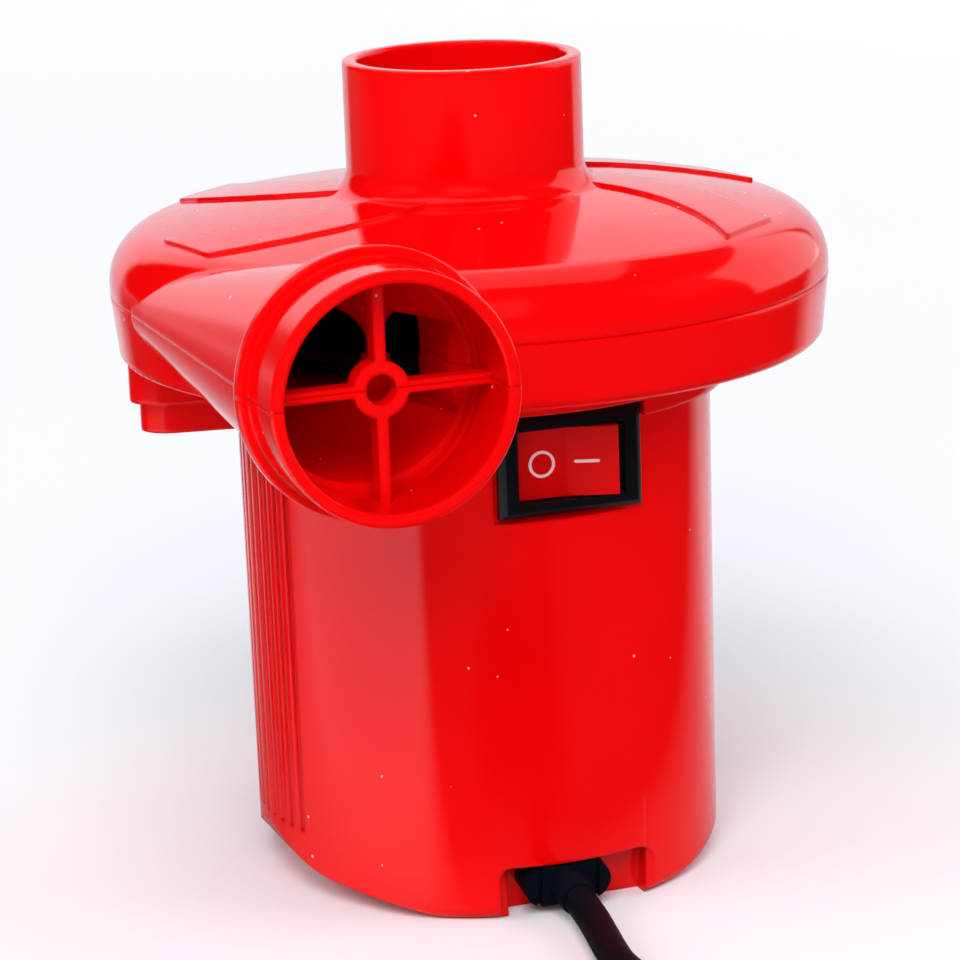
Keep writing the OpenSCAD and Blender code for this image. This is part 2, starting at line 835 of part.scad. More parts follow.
// Everything in front of the wall that the bushing's head seats on, set back by the given depth
module before_bushing_wall(back) {
  along_bushing() translate([-far, -far, -head_l - back]) cube(2 * far);
}

module cord_pocket_block() {
  intersection() {
    translate([notch_x - pocket_w / 2 - wall, -body_r_most, 0])
      cube([pocket_w + 2 * wall, body_r_most, pocket_roof_z + wall]);
    before_bushing_wall(wall);
  }
}

module cord_pocket_cut() {
  intersection() {
    translate([notch_x - pocket_w / 2, -pocket_front_y, -cut])
      cube([pocket_w, pocket_front_y, pocket_roof_z + cut]);
    before_bushing_wall(0);
  }
  translate([notch_x, -pocket_front_y + 0.5, 0])
    rotate([90, 0, 0])
      linear_extrude(body_r_most - pocket_front_y + cut) notch_outline(notch_w / 2, notch_corner_r);
}

// Outline of the cord notch with its own rounding at each upper corner
module notch_outline(half, corner) {
  translate([-half, -cut]) square([half, cut + notch_h - corner[0]]);
  translate([0, -cut]) square([half, cut + notch_h - corner[1]]);
  translate([-half + corner[0], 0]) square([2 * half - corner[0] - corner[1], notch_h]);
  translate([-half + corner[0], notch_h - corner[0]]) circle(r = corner[0], $fn = 32);
  translate([half - corner[1], notch_h - corner[1]]) circle(r = corner[1], $fn = 48);
}

module grooves() {
  for (side = [0, 180], i = [0 : groove_count - 1])
    rotate([0, 0, side + (i - (groove_count - 1) / 2) * groove_pitch])
      translate([body_r_base + body_slope * groove_z, 0, groove_z])
        rotate([0, body_draft, 0])
          translate([-groove_d, -groove_w / 2, 0])
            cube([groove_d + cut, groove_w, collar_z - groove_z]);
}

// Recess in the underside, within the flat part of the base
module base_recess() {
  intersection() {
    translate([0, 0, -cut]) cylinder(h = cut + base_recess_h, r = base_recess_r);
    translate([3 - base_foot_x, -far, -far]) cube([2 * base_foot_x - 6, 2 * far, 2 * far]);
  }
}

module base_vents() {
  for (i = [0 : vent_count - 1])
    translate([(i - (vent_count - 1) / 2) * vent_pitch - vent_w / 2, -vent_l / 4, -cut])
      cube([vent_w, vent_l, base_t + 2 * cut]);
}

module motor_housing() {
  flat_w = bezel_w + 1.2;
  flat_z = switch_z - bezel_h / 2 - 0.6;
  color("red")
    difference() {
      union() {
        difference() {
          body_outside();
          body_inside();
        }
        for (x = [-1, 1])
          translate([x * motor_screw_x, 0, base_t - 0.4])
            cylinder(h = lower_bracket_z - base_t + 0.4, r = column_r, $fn = 48);
        for (az = housing_screw_az)
          at_az(housing_screw_pcr, az)
            translate([0, 0, body_h - housing_boss_l])
              cylinder(h = housing_boss_l, r = housing_boss_r, $fn = 48);
        intersection() {
          body_outside();
          union() {
            cord_pocket_block();
            translate([switch_x - flat_w / 2, -body_r_most, flat_z - 1])
              cube([flat_w, body_r_most + seat_back_y, body_h - flat_z + 1]);
          }
        }
      }
      cord_pocket_cut();
      along_bushing()
        translate([0, 0, -head_l - barrel_l - cut])
          cylinder(h = barrel_l + 2 * cut, r = barrel_r + fit_gap, $fn = 48);
      grooves();
      base_recess();
      intersection() {
        base_vents();
        translate([0, 8, -cut]) cylinder(h = base_t + 3 * cut, r = 13);
      }
      translate([switch_x - flat_w / 2, -body_r_most - cut, flat_z])
        cube([flat_w, body_r_most + seat_y + cut, body_h]);
      translate([switch_x - box_w / 2 - fit_gap, seat_y - seat_depth, switch_z - box_h / 2 - fit_gap])
        cube([box_w + 2 * fit_gap, 8, box_h + 2 * fit_gap]);
      for (x = [-1, 1])
        translate([x * motor_screw_x, 0, screw_end_z - 1])
          cylinder(h = body_h, r = screw_r + thread_gap, $fn = 32);
      for (az = housing_screw_az)
        at_az(housing_screw_pcr, az)
          translate([0, 0, body_h - housing_screw_l])
            cylinder(h = housing_screw_l + cut, r = screw_r + thread_gap, $fn = 32);
    }
}

// Pan-head screw pointing down, with its head seated at z = 0
module screw(length) {
  cylinder(h = screw_head_h, r = screw_head_r, $fn = 32);
  translate([0, 0, -length]) cylinder(h = length + 0.1, r = screw_r, $fn = 32);
}

module cover_screws() {
  color("silver")
    for (az = cover_screw_az)
      at_az(cover_screw_pcr, az)
        translate([0, 0, floor_bottom_z + screw_head_h + 0.5])
          mirror([0, 0, 1]) screw(cover_screw_l);
}

module housing_screws() {
  color("silver")
    for (az = housing_screw_az)
      at_az(housing_screw_pcr, az)
        translate([0, 0, floor_top_z]) screw(housing_screw_l - 1);
}

module motor_screws() {
  color("silver")
    for (x = [-1, 1])
      translate([x * motor_screw_x, 0, upper_plate_top_z]) screw(upper_plate_top_z - screw_end_z);
}

// Plan of a blade: an arc from hub to rim that trails the way the fan turns
module blade_outline() {
  from = polar(blade_in_r, 0);
  to = polar(impeller_r, -blade_wrap);
  half = norm(to - from) / 2;
  along = unit(to - from);
  mid = (from + to) / 2;
  middle = mid + sqrt(pow(blade_arc_r, 2) - half * half) * [along[1], -along[0], 0];
  intersection() {
    difference() {
      translate([middle[0], middle[1]]) circle(r = blade_arc_r + blade_t / 2);
      translate([middle[0], middle[1]]) circle(r = blade_arc_r - blade_t / 2);
    }
    difference() {
      circle(r = impeller_r - 0.6);
      circle(r = hub_r - 0.5);
    }
    polygon([
      polar2(hub_r / 2, 60), polar2(2 * impeller_r, 40), polar2(2 * impeller_r, -20),
      polar2(2 * impeller_r, -75), polar2(hub_r / 2, -80)
    ]);
  }
}
module impeller() {
  base_z = impeller_z + impeller_plate_t;
  color("black")
    difference() {
      union() {
        translate([0, 0, impeller_z]) cylinder(h = impeller_plate_t, r = impeller_r);
        translate([0, 0, impeller_z]) cylinder(h = hub_h, r = hub_r, $fn = 48);
        intersection() {
          for (i = [0 : blade_count - 1])
            rotate([0, 0, 360 * i / blade_count])
              translate([0, 0, base_z - 0.2])
                linear_extrude(hub_h) blade_outline();
          rotate_extrude()
            polygon([
              [0, impeller_z - cut], [impeller_r + cut, impeller_z - cut],
              [impeller_r + cut, base_z + blade_h_out],
              [blade_in_r, base_z + blade_h_in], [0, base_z + blade_h_in]
            ]);
        }
      }
      translate([0, 0, impeller_z - cut]) cylinder(h = hub_h + 2 * cut, r = shaft_r + close_gap, $fn = 48);
    }
}

module impeller_nut() {
  color("goldenrod")
    translate([0, 0, hub_top_z])
      difference() {
        cylinder(h = nut_h, r = nut_af / sqrt(3), $fn = 6);
        translate([0, 0, -cut]) cylinder(h = nut_h + 2 * cut, r = shaft_r + close_gap, $fn = 48);
      }
}

module motor_shaft() {
  color("lightgray")
    translate([0, 0, shaft_end_z]) cylinder(h = shaft_top_z - shaft_end_z, r = shaft_r, $fn = 48);
}

module slots(gap) {
  for (i = [0 : slot_count - 1])
    rotate([0, 0, 360 * i / slot_count])
      translate([armature_r - 0.8 - slot_depth + gap, -slot_w / 2 + gap])
        square([slot_depth - 2 * gap, slot_w - 2 * gap]);
}

module armature_core() {
  color("dimgray")
    translate([0, 0, stator_z])
      linear_extrude(stator_h)
        difference() {
          circle(r = armature_r);
          circle(r = shaft_r + close_gap, $fn = 48);
          slots(0);
        }
}

module armature_windings() {
  color("peru") {
    translate([0, 0, stator_z - winding_l / 2])
      linear_extrude(stator_h + winding_l) slots(slot_gap);
    for (z = [stator_z - winding_l, stator_top_z + 0.2])
      translate([0, 0, z])
        difference() {
          cylinder(h = winding_l - 0.2, r = winding_out_r);
          translate([0, 0, -cut]) cylinder(h = winding_l + 2 * cut, r = winding_in_r, $fn = 48);
        }
  }
}

module commutator() {
  bar_gap = 0.4;
  color("goldenrod")
    translate([0, 0, commutator_z])
      difference() {
        cylinder(h = commutator_h, r = commutator_r);
        translate([0, 0, -cut]) cylinder(h = commutator_h + 2 * cut, r = shaft_r + close_gap, $fn = 48);
        for (i = [0 : slot_count - 1])
          rotate([0, 0, 360 * (i + 0.5) / slot_count])
            translate([commutator_r - 0.6, -bar_gap / 2, -cut])
              cube([2, bar_gap, commutator_h + 2 * cut]);
      }
}

// Window of a field coil on one side of a pole
module coil_windows() {
  for (az = [pole_half_az, -coil_half_az, 180 + pole_half_az, 180 - coil_half_az])
    sector(coil_in_r, coil_out_r, az, az + coil_half_az - pole_half_az, stator_z - cut, stator_h + 2 * cut);
}

module stator_core() {
  color("dimgray")
    difference() {
      intersection() {
        translate([-stator_w / 2, -stator_d / 2, stator_z]) cube([stator_w, stator_d, stator_h]);
        translate([0, 0, stator_z]) cylinder(h = stator_h, r = stator_corner_r);
      }
      translate([0, 0, stator_z - cut]) cylinder(h = stator_h + 2 * cut, r = stator_bore_r);
      coil_windows();
      for (x = [-1, 1])
        translate([x * motor_screw_x, 0, stator_z - cut])
          cylinder(h = stator_h + 2 * cut, r = screw_r + screw_gap, $fn = 32);
    }
}

module field_coils() {
  angle_gap = 1;
  color("peru")
    for (az = [0, 180])
      rotate([0, 0, az])
        difference() {
          sector(coil_in_r + coil_gap, coil_out_r - coil_gap,
            -coil_half_az + angle_gap, coil_half_az - angle_gap,
            stator_z - coil_overhang, stator_h + 2 * coil_overhang);
          sector(coil_in_r - 1, coil_out_r + 1, -pole_half_az - angle_gap, pole_half_az + angle_gap,
            stator_z - coil_gap, stator_h + 2 * coil_gap);
        }
}

// End bracket: a bar with a bearing boss and two posts that stand on the stator
module bracket_bar(z) {
  difference() {
    translate([0, 0, z])
      intersection() {
        translate([-motor_screw_x - post_r, -bracket_w / 2, 0])
          cube([2 * (motor_screw_x + post_r), bracket_w, plate_t]);
        cylinder(h = plate_t, r = motor_screw_x + post_r + 0.2);
      }
    for (x = [-1, 1])
      translate([x * motor_screw_x, 0, z - cut])
        cylinder(h = plate_t + 2 * cut, r = screw_r + screw_gap, $fn = 32);
  }
}

module bracket_posts(z, h) {
  for (x = [-1, 1])
    translate([x * motor_screw_x, 0, z])
      difference() {
        cylinder(h = h, r = post_r, $fn = 48);
        translate([0, 0, -cut]) cylinder(h = h + 2 * cut, r = screw_r + screw_gap, $fn = 32);
      }
}

module upper_bracket() {
  color("gray") {
    bracket_posts(stator_top_z, upper_post_h);
    difference() {
      union() {
        bracket_bar(upper_bracket_z);
        translate([0, 0, upper_bracket_z]) cylinder(h = boss_h, r = boss_r);
      }
      translate([0, 0, upper_bracket_z - cut]) cylinder(h = boss_h + 2 * cut, r = bearing_r + close_gap);
    }
  }
}

module lower_bracket() {
  boss_z = lower_plate_top_z - boss_h;
  color("gray") {
    bracket_posts(lower_plate_top_z, lower_post_h);
    difference() {
      union() {
        bracket_bar(lower_bracket_z);
        translate([0, 0, boss_z]) cylinder(h = boss_h, r = boss_r);
      }
      translate([0, 0, boss_z - cut]) cylinder(h = boss_h + 2 * cut, r = bearing_r + close_gap);
    }
  }
}

module bearing(z) {
  color("darkgoldenrod")
    translate([0, 0, z])
      difference() {
        cylinder(h = boss_h, r = bearing_r);
        translate([0, 0, -cut]) cylinder(h = boss_h + 2 * cut, r = shaft_r + close_gap, $fn = 48);
      }
}

module upper_bearing() {
  bearing(upper_bracket_z);
}

module lower_bearing() {
  bearing(lower_plate_top_z - boss_h);
}

module on_each_brush() {
  for (az = [0, 180]) rotate([0, 0, az]) children();
}

module brush_holders() {
  half = brush_w / 2;
  color("darkgoldenrod")
    on_each_brush()
      difference() {
        translate([holder_in_r, -half - holder_wall, lower_plate_top_z])
          cube([
            holder_out_r - holder_in_r, brush_w + 2 * holder_wall,
            brush_z + half + holder_wall - lower_plate_top_z
          ]);
        translate([holder_in_r - cut, -half - fit_gap, brush_z - half - fit_gap])
          cube([holder_out_r - holder_in_r + cut - cap_t, brush_w + 2 * fit_gap, brush_w + 2 * fit_gap]);
      }
}

module carbon_brushes() {
  color("black")
    on_each_brush()
      translate([brush_in_r, -brush_w / 2, brush_z - brush_w / 2]) cube([brush_l, brush_w, brush_w]);
}

module brush_springs() {
  spring_from = brush_in_r + brush_l;
  color("silver")
    on_each_brush()
      translate([spring_from, 0, brush_z])
        rotate([0, 90, 0])
          cylinder(h = holder_out_r - cap_t - spring_from, r = brush_w / 2 - 0.4, $fn = 32);
}

// Insulated wires: cord to switch, switch to field coil, cord to field coil
module inner_leads() {
  barrel_end = bushing_face - (head_l + barrel_l) * bushing_dir;
  left = barrel_end + [-1.6, 0, 0];
  right = barrel_end + [1.6, 0, 0];
  terminal_y = seat_y + box_depth + terminal_l + 0.3;
  color("saddlebrown") {
    tube(concat(
      [left, left - 3 * bushing_dir], switch_wire,
      [
        [switch_x - terminal_x, terminal_y + 0.6, switch_z - 5],
        [switch_x - terminal_x, terminal_y + 1, switch_z - 2.4]
      ]
    ), lead_wire_r, 6, [1, 0, 0]);
    tube([
      [switch_x + terminal_x, terminal_y + 1, switch_z - 2.4],
      [switch_x + terminal_x, terminal_y + 0.6, switch_z - 5], upper_coil_wire,
      [coil_wire_x, -15.6, stator_top_z + coil_overhang + 0.5]
    ], lead_wire_r, 6, [1, 0, 0]);
    tube(concat(
      [right, right - 3 * bushing_dir], lower_coil_wire,
      [[coil_wire_x, -15.9, stator_z - coil_overhang - 0.3]]
    ), lead_wire_r, 6, [1, 0, 0]);
  }
}

// Plate in the XZ plane with its front edges bevelled, its back at y = 0
module bevelled_plate(w, h, t, bevel) {
  difference() {
    translate([-w / 2, -t, -h / 2]) cube([w, t, h]);
    for (side = [-1, 1]) {
      translate([side * w / 2, -t, 0])
        rotate([0, 0, 45]) cube([bevel * sqrt(2), bevel * sqrt(2), 2 * h], center = true);
      translate([0, -t, side * h / 2])
        rotate([45, 0, 0]) cube([2 * w, bevel * sqrt(2), bevel * sqrt(2)], center = true);
    }
  }
}

module switch_bezel() {
  cavity_w = 2 * rocker_reach;
  cavity_h = rocker_h + 2 * rocker_gap;
  color("black")
    difference() {
      translate([switch_x, seat_y, switch_z]) {
        bevelled_plate(bezel_w, bezel_h, bezel_t, bezel_chamfer);
        translate([-box_w / 2, -0.1, -box_h / 2]) cube([box_w, box_depth + 0.1, box_h]);
      }
      translate([switch_x - cavity_w / 2, bezel_front_y - cut, switch_z - cavity_h / 2])
        cube([cavity_w, pivot_y + cavity_depth - bezel_front_y + cut, cavity_h]);
      translate([switch_x, pivot_y, switch_z - box_h])
        cylinder(h = 2 * box_h, r = pivot_r + close_gap, $fn = 32);
    }
}

module switch_rocker() {
  half = rocker_w / 2;
  pin_l = (box_h - rocker_h) / 2 - 0.1;
  color("firebrick")
    translate([switch_x, pivot_y, switch_z])
      rotate([0, 0, -rocker_tilt]) {
        translate([0, 0, -rocker_h / 2])
          linear_extrude(rocker_h)
            polygon([
              [-half, -rocker_end_v], [0, -rocker_valley_v], [half, -rocker_end_v], [half, 1.5],
              [rocker_root_w, rocker_root_v], [-rocker_root_w, rocker_root_v], [-half, 1.5]
            ]);
        translate([0, 0, -rocker_h / 2 - pin_l])
          cylinder(h = rocker_h + 2 * pin_l, r = pivot_r, $fn = 32);
      }
}

module switch_terminals() {
  color("goldenrod")
    for (x = [-terminal_x, terminal_x])
      translate([switch_x + x - terminal_t / 2, seat_y + box_depth, switch_z - terminal_w / 2])
        cube([terminal_t, terminal_l, terminal_w]);
}

module cord_bushing() {
  middle = bushing_w / 2 - head_r;
  color("black")
    along_bushing()
      difference() {
        union() {
          translate([0, 0, -head_l])
            linear_extrude(head_l) {
              translate([-middle, -head_r]) square([2 * middle, 2 * head_r]);
              for (x = [-middle, middle]) translate([x, 0]) circle(r = head_r, $fn = 48);
            }
          translate([0, 0, -head_l - barrel_l]) cylinder(h = barrel_l + 1, r = barrel_r, $fn = 48);
          translate([0, 0, -1]) cylinder(h = 1 + nose_l, r1 = nose_r, r2 = nose_tip_r, $fn = 48);
        }
        for (x = [-1, 1])
          translate([x * (middle + 0.9) - bushing_groove_w / 2, -head_r - cut, -0.8])
            cube([bushing_groove_w, 2 * head_r + 2 * cut, 0.8 + cut]);
      }
}

module cord_lead() {
  color("black") tube(cord_route, cord_r, 12);
}

module cord_coil() {
  color("black") tube(coil_path, cord_r, 6);
}

module cord_tail() {
  color("black") tube(tail_route, cord_r, 12);
}

// Band round the bundle of turns, a rounded frame that the turns pass through
module coil_tie() {
  in_r = coil_min_r - cord_r - tie_gap;
  out_r = coil_r(0) + cord_r + tie_gap;
  low_z = coil_low_z - cord_r - tie_gap;
  high_z = coil_low_z + coil_pitch + cord_r + tie_gap;
  color("black")
    translate([coil_c[0], coil_c[1], 0])
      rotate([0, 0, tie_az])
        translate([0, tie_w / 2, 0])
          rotate([90, 0, 0])
            linear_extrude(tie_w)
              difference() {
                rounded_frame(in_r - tie_t, out_r + tie_t, low_z - tie_t, high_z + tie_t, 2 + tie_t);
                rounded_frame(in_r, out_r, low_z, high_z, 2);
              }
}

module rounded_frame(x0, x1, z0, z1, corner) {
  translate([x0 + corner, z0]) square([x1 - x0 - 2 * corner, z1 - z0]);
  translate([x0, z0 + corner]) square([x1 - x0, z1 - z0 - 2 * corner]);
  for (x = [x0 + corner, x1 - corner], z = [z0 + corner, z1 - corner])
    translate([x, z]) circle(r = corner, $fn = 32);
}

// Plug lying flat, its cord end at the tail and its pins pointing on
module along_plug() {
  translate(plug_at) rotate([0, 0, atan2(tail_dir[1], tail_dir[0])]) children();
}

module plug_body() {
  half = plug_w / 2;
  color("black")
    along_plug() {
      rotate([0, 90, 0]) cylinder(h = relief_l, r1 = cord_r + 0.6, r2 = cord_r + 1.8, $fn = 48);
      translate([relief_l - 1, 0, -plug_t / 2])
        linear_extrude(plug_t)
          polygon([
            [0, -5], [6, -11], [17, -half], [plug_l, -half],
            [plug_l, half], [17, half], [6, 11], [0, 5]
          ]);
    }
}

module plug_pins() {
  color("silver")
    along_plug()
      for (side = [-1, 1])
        translate([relief_l - 1 + plug_l, side * pin_spacing / 2, 0])
          rotate([0, 90, 0]) {
            cylinder(h = pin_l - pin_d / 2, r = pin_d / 2, $fn = 32);
            translate([0, 0, pin_l - pin_d / 2]) sphere(r = pin_d / 2, $fn = 32);
          }
}

top_cover();
lower_shell();
motor_housing();
cover_screws();
housing_screws();
impeller();
impeller_nut();
motor_shaft();
armature_core();
armature_windings();
commutator();
stator_core();
field_coils();
upper_bracket();
lower_bracket();
upper_bearing();
lower_bearing();
brush_holders();
carbon_brushes();
brush_springs();
motor_screws();
inner_leads();
switch_bezel();
switch_rocker();
switch_terminals();
cord_bushing();
cord_lead();
cord_coil();
coil_tie();
cord_tail();
plug_body();
plug_pins();
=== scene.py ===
"""Looks of a mains air pump for air beds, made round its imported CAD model."""

import math

import bpy
from bpy.props import FloatProperty, FloatVectorProperty, PointerProperty
from mathutils import Matrix, Quaternion, Vector


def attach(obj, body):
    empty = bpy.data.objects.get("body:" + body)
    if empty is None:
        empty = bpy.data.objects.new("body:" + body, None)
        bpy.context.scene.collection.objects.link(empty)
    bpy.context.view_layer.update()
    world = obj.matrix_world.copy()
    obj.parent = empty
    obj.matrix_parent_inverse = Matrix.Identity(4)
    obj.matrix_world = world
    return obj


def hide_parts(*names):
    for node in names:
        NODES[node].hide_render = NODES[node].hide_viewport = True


bl_info = {
    "name": "Air pump looks",
    "version": (1, 0, 0),
    "blender": (4, 5, 0),
    "location": "View3D > Sidebar > Air pump",
    "description": "Finishes, fittings, cord and studio stage for a mains air pump",
    "category": "Object",
}

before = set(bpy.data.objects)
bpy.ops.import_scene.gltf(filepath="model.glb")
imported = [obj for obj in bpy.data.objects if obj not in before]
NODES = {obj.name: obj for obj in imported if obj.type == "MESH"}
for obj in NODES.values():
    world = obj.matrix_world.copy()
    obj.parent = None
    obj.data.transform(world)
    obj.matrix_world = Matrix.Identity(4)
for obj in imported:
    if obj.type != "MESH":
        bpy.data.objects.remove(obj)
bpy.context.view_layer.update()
MM = 0.001

# Cleaning and smoothing of meshes
MERGE_DISTANCE = 1e-6
FLAT_ANGLE = math.radians(0.5)
SMOOTH_ANGLE = math.radians(40)
FITTING_EDGE_ANGLE = 30

# Rocker: its pivot, its tilt at rest, and the heights of its face over the pivot
ROCKER_PIVOT = (0.002, -0.0315, 0.0655)
ROCKER_TILT = math.radians(-11)
ROCKER_END_H = 0.0026
ROCKER_VALLEY_H = 0.0015
ROCKER_HALF_L = 0.0071

# Marks on the rocker: their places from its middle, how deep they start and how thick they are
RING_X = -0.0036
BAR_X = 0.00275
MARK_SINK = 0.00002
MARK_H = 0.00006
RING_CORNERS = 56

# Width of the bar and rounding of its ends, as shares of the stroke
BAR_WIDTH = 1.1
BAR_ROUNDING = 0.4
BAR_ROUND_STEPS = 4

# Cord route, in millimetres
BUSHING_TILT = math.radians(12)
BUSHING_FACE = (0, -33.2, 4.25)
NOSE_L = 4
NOSE_STRAIGHT = 2.5
COIL_CENTRE = (-14, -126, 0)
COIL_MEAN_R = 27
COIL_LIFT = 1.1
FLOOR_GAP = 0.03
LEAD_IN = (14, 7, 0)
TAIL_L = 18
TAIL_STEPS = (0, 0.15, 0.35, 0.65, 0.85, 1)
TAIL_FLAT = 0.15
TAIL_RISE = 0.7
PLUG_ENTRY_Z = 7.1
POINTS_A_TURN = 24
POINTS_A_SPAN = 3

# Finishes: the part of a noise that is used, the depth of fine texture, and the colour of dust
NOISE_RANGE = (0.3, 0.7)
GRAIN_DEPTH = 0.0001
WIRE_DEPTH = 0.0002
PALE_DUST = (0.9, 0.75, 0.72, 1)

# Camera and floor
SENSOR_W = 36
CLIP_RANGE = (0.01, 20)
FLOOR_SIZE = 5
FLOOR_BACK_Y = 2
BACKDROP_H = 3
SWEEP_R = 1.2
SWEEP_STEPS = 24

# Zones of the floor for its painted reflections (near black in front, glowing behind), each by the
# direction across its edge and the start and end of that edge
FRONT_EDGE = ((-0.47, -0.88, 0), 0.0, 0.05)
LEFT_EDGE = ((-0.66, 0.75, 0), -0.018, -0.006)
BACK_EDGE = ((-0.42, 0.91, 0), -0.07, 0.0)
BACK_END = ((0.95, 0.3, 0), -0.05, 0.03)
GLOW_END = ((1, 0, 0), -0.8, -0.62)
GLOW_RISE = ((0, 0.3, 0), 0.05, 1.1)
NEAR_REACH = (0.36, 0.28)
WHITE_REACH = (0.0, 2.2)
# Colour of the floor's glow: the far white backdrop seen straight, and the painted highlight that
# gloss sees behind the pump.
FLOOR_GLOW = (0.94, 0.93, 1, 1)

# Light from all round, for matt surfaces and for gloss
WORLD_SOFT = (0.17, 0.18, 0.2, 1)
WORLD_DIM = (0.03, 0.03, 0.032, 1)

# Lamps: name, place, point aimed at, width, height, watts, and whether gloss mirrors them
PUMP_MIDDLE = (0, 0, 0.06)
LAMPS = (
    ("top_softbox", (0.0, 0.35, 1.25), (0, 0.1, 0), 1.2, 1.1, 2.2, True),
    ("right_softbox", (1.9, 0.5, 0.75), (0, 0, 0.1), 2.0, 1.6, 10, True),
    ("front_fill", (-0.45, -1.2, 1.15), PUMP_MIDDLE, 1.0, 1.0, 26.5, False),
    ("left_fill", (-1.2, -0.1, 0.8), PUMP_MIDDLE, 0.8, 0.8, 6, False),
    ("right_fill", (1.1, -0.5, 0.8), PUMP_MIDDLE, 0.8, 0.8, 4, False),
)


class PumpColours(bpy.types.PropertyGroup):
    """Colours of the pump's finishes."""

    red: FloatVectorProperty(
        name="Shell red", description="Colour of the moulded shells",
        subtype="COLOR", size=4, default=(0.84, 0.0006, 0.001, 1), min=0, max=1,
    )
    rocker: FloatVectorProperty(
        name="Rocker red", description="Colour of the switch's rocker",
        subtype="COLOR", size=4, default=(0.72, 0.0009, 0.0007, 1), min=0, max=1,
    )
    black: FloatVectorProperty(
        name="Plastic black", description="Colour of bezel, fan, tie and plug",
        subtype="COLOR", size=4, default=(0.0046, 0.0052, 0.0075, 1), min=0, max=1,
    )
    cord: FloatVectorProperty(
        name="Cord black", description="Colour of the cord and its bushing",
        subtype="COLOR", size=4, default=(0.003, 0.0052, 0.0085, 1), min=0, max=1,
    )
    mark: FloatVectorProperty(
        name="Mark white", description="Paint of the marks on the rocker",
        subtype="COLOR", size=4, default=(0.95, 0.7, 0.71, 1), min=0, max=1,
    )
    floor: FloatVectorProperty(
        name="Floor", description="Colour of the floor and backdrop",
        subtype="COLOR", size=4, default=(0.865, 0.87, 0.91, 1), min=0, max=1,
    )


class PumpSizes(bpy.types.PropertyGroup):
    """Sizes of the pieces that are made here."""

    cord_d: FloatProperty(
        name="Cord diameter", description="Diameter of the mains cord",
        subtype="DISTANCE", unit="LENGTH", default=0.0046, min=0.003, max=0.008,
    )
    coil_turns: FloatProperty(
        name="Coil turns", description="Turns of cord in the stored coil",
        default=7, min=2, max=9,
    )
    coil_pitch: FloatProperty(
        name="Coil pitch", description="Step from one turn of cord to the next",
        subtype="DISTANCE", unit="LENGTH", default=0.0051, min=0.004, max=0.01,
    )
    ring_r: FloatProperty(
        name="Off ring radius", description="Radius of the ring that marks off",
        subtype="DISTANCE", unit="LENGTH", default=0.0019, min=0.0008, max=0.003,
    )
    bar_l: FloatProperty(
        name="On bar length", description="Length of the bar that marks on",
        subtype="DISTANCE", unit="LENGTH", default=0.0035, min=0.001, max=0.005,
    )
    stroke: FloatProperty(
        name="Mark stroke", description="Line width of the marks on the rocker",
        subtype="DISTANCE", unit="LENGTH", default=0.0004, min=0.0002, max=0.001,
    )


class PumpStage(bpy.types.PropertyGroup):
    """Place and lens of the camera."""

    distance: FloatProperty(
        name="Camera distance", description="From the camera to the point it aims at",
        subtype="DISTANCE", unit="LENGTH", default=0.560, min=0.2, max=5,
    )
    azimuth: FloatProperty(
        name="Camera azimuth", description="Side from which the camera looks",
        subtype="ANGLE", default=math.radians(-19.3),
    )
    elevation: FloatProperty(
        name="Camera elevation", description="How far the camera looks down",
        subtype="ANGLE", default=math.radians(14.02),
    )
    roll: FloatProperty(
        name="Camera roll", description="Turn of the camera about its own view",
        subtype="ANGLE", default=math.radians(-2.08),
    )
    aim: FloatVectorProperty(
        name="Aim", description="Point the camera aims at",
        subtype="XYZ", size=3, default=(0.00047, -0.00017, 0.0557),
    )
    lens: FloatProperty(
        name="Lens", description="Focal length on a 36 mm sensor, in millimetres",
        default=144.1, min=20, max=300,
    )


def deselect_all():
    """Leaves nothing selected, in object mode."""
    if bpy.context.mode != "OBJECT":
        bpy.ops.object.mode_set(mode="OBJECT")
    bpy.ops.object.select_all(action="DESELECT")


def make_active(obj):
    """Selects one object alone, for the operators that follow."""
    deselect_all()
    obj.select_set(True)
    bpy.context.view_layer.objects.active = obj


def settle(obj):
    """Puts an object's place into its mesh, so that the object sits at the origin."""
    make_active(obj)
    bpy.ops.object.transform_apply(location=True, rotation=True, scale=True)
    return obj


def merged_copy(node, name):
    """Copy of a CAD node with its own mesh, joined vertices and whole flat faces."""
    made = bpy.data.objects.new(name, NODES[node].data.copy())
    bpy.context.scene.collection.objects.link(made)
    made.matrix_world = NODES[node].matrix_world
    settle(made)
    bpy.ops.mesh.customdata_custom_splitnormals_clear()
    bpy.ops.object.mode_set(mode="EDIT")
    bpy.ops.mesh.select_all(action="SELECT")
    bpy.ops.mesh.remove_doubles(threshold=MERGE_DISTANCE)
    bpy.ops.mesh.dissolve_limited(angle_limit=FLAT_ANGLE)
    bpy.ops.object.mode_set(mode="OBJECT")
    return made


def soften(obj, width, angle, segments=3):
    """Rounds the edges that turn by more than the given angle, in degrees."""
    make_active(obj)
    rounding = obj.modifiers.new("rounding", "BEVEL")
    rounding.width = width
    rounding.segments = segments
    rounding.limit_method = "ANGLE"
    rounding.angle_limit = math.radians(angle)
    rounding.miter_outer = "MITER_ARC"
    bpy.ops.object.modifier_apply(modifier=rounding.name)
    bpy.ops.object.shade_smooth_by_angle(angle=SMOOTH_ANGLE)
    return obj


def add_node(tree, kind, x, y, inputs=(), **settings):
    """New node at a place in the editor, with values for its inputs and its own settings."""
    made = tree.nodes.new(kind)
    made.location = (x, y)
    for key, value in settings.items():
        setattr(made, key, value)
    for key, value in dict(inputs).items():
        made.inputs[key].default_value = value
    return made


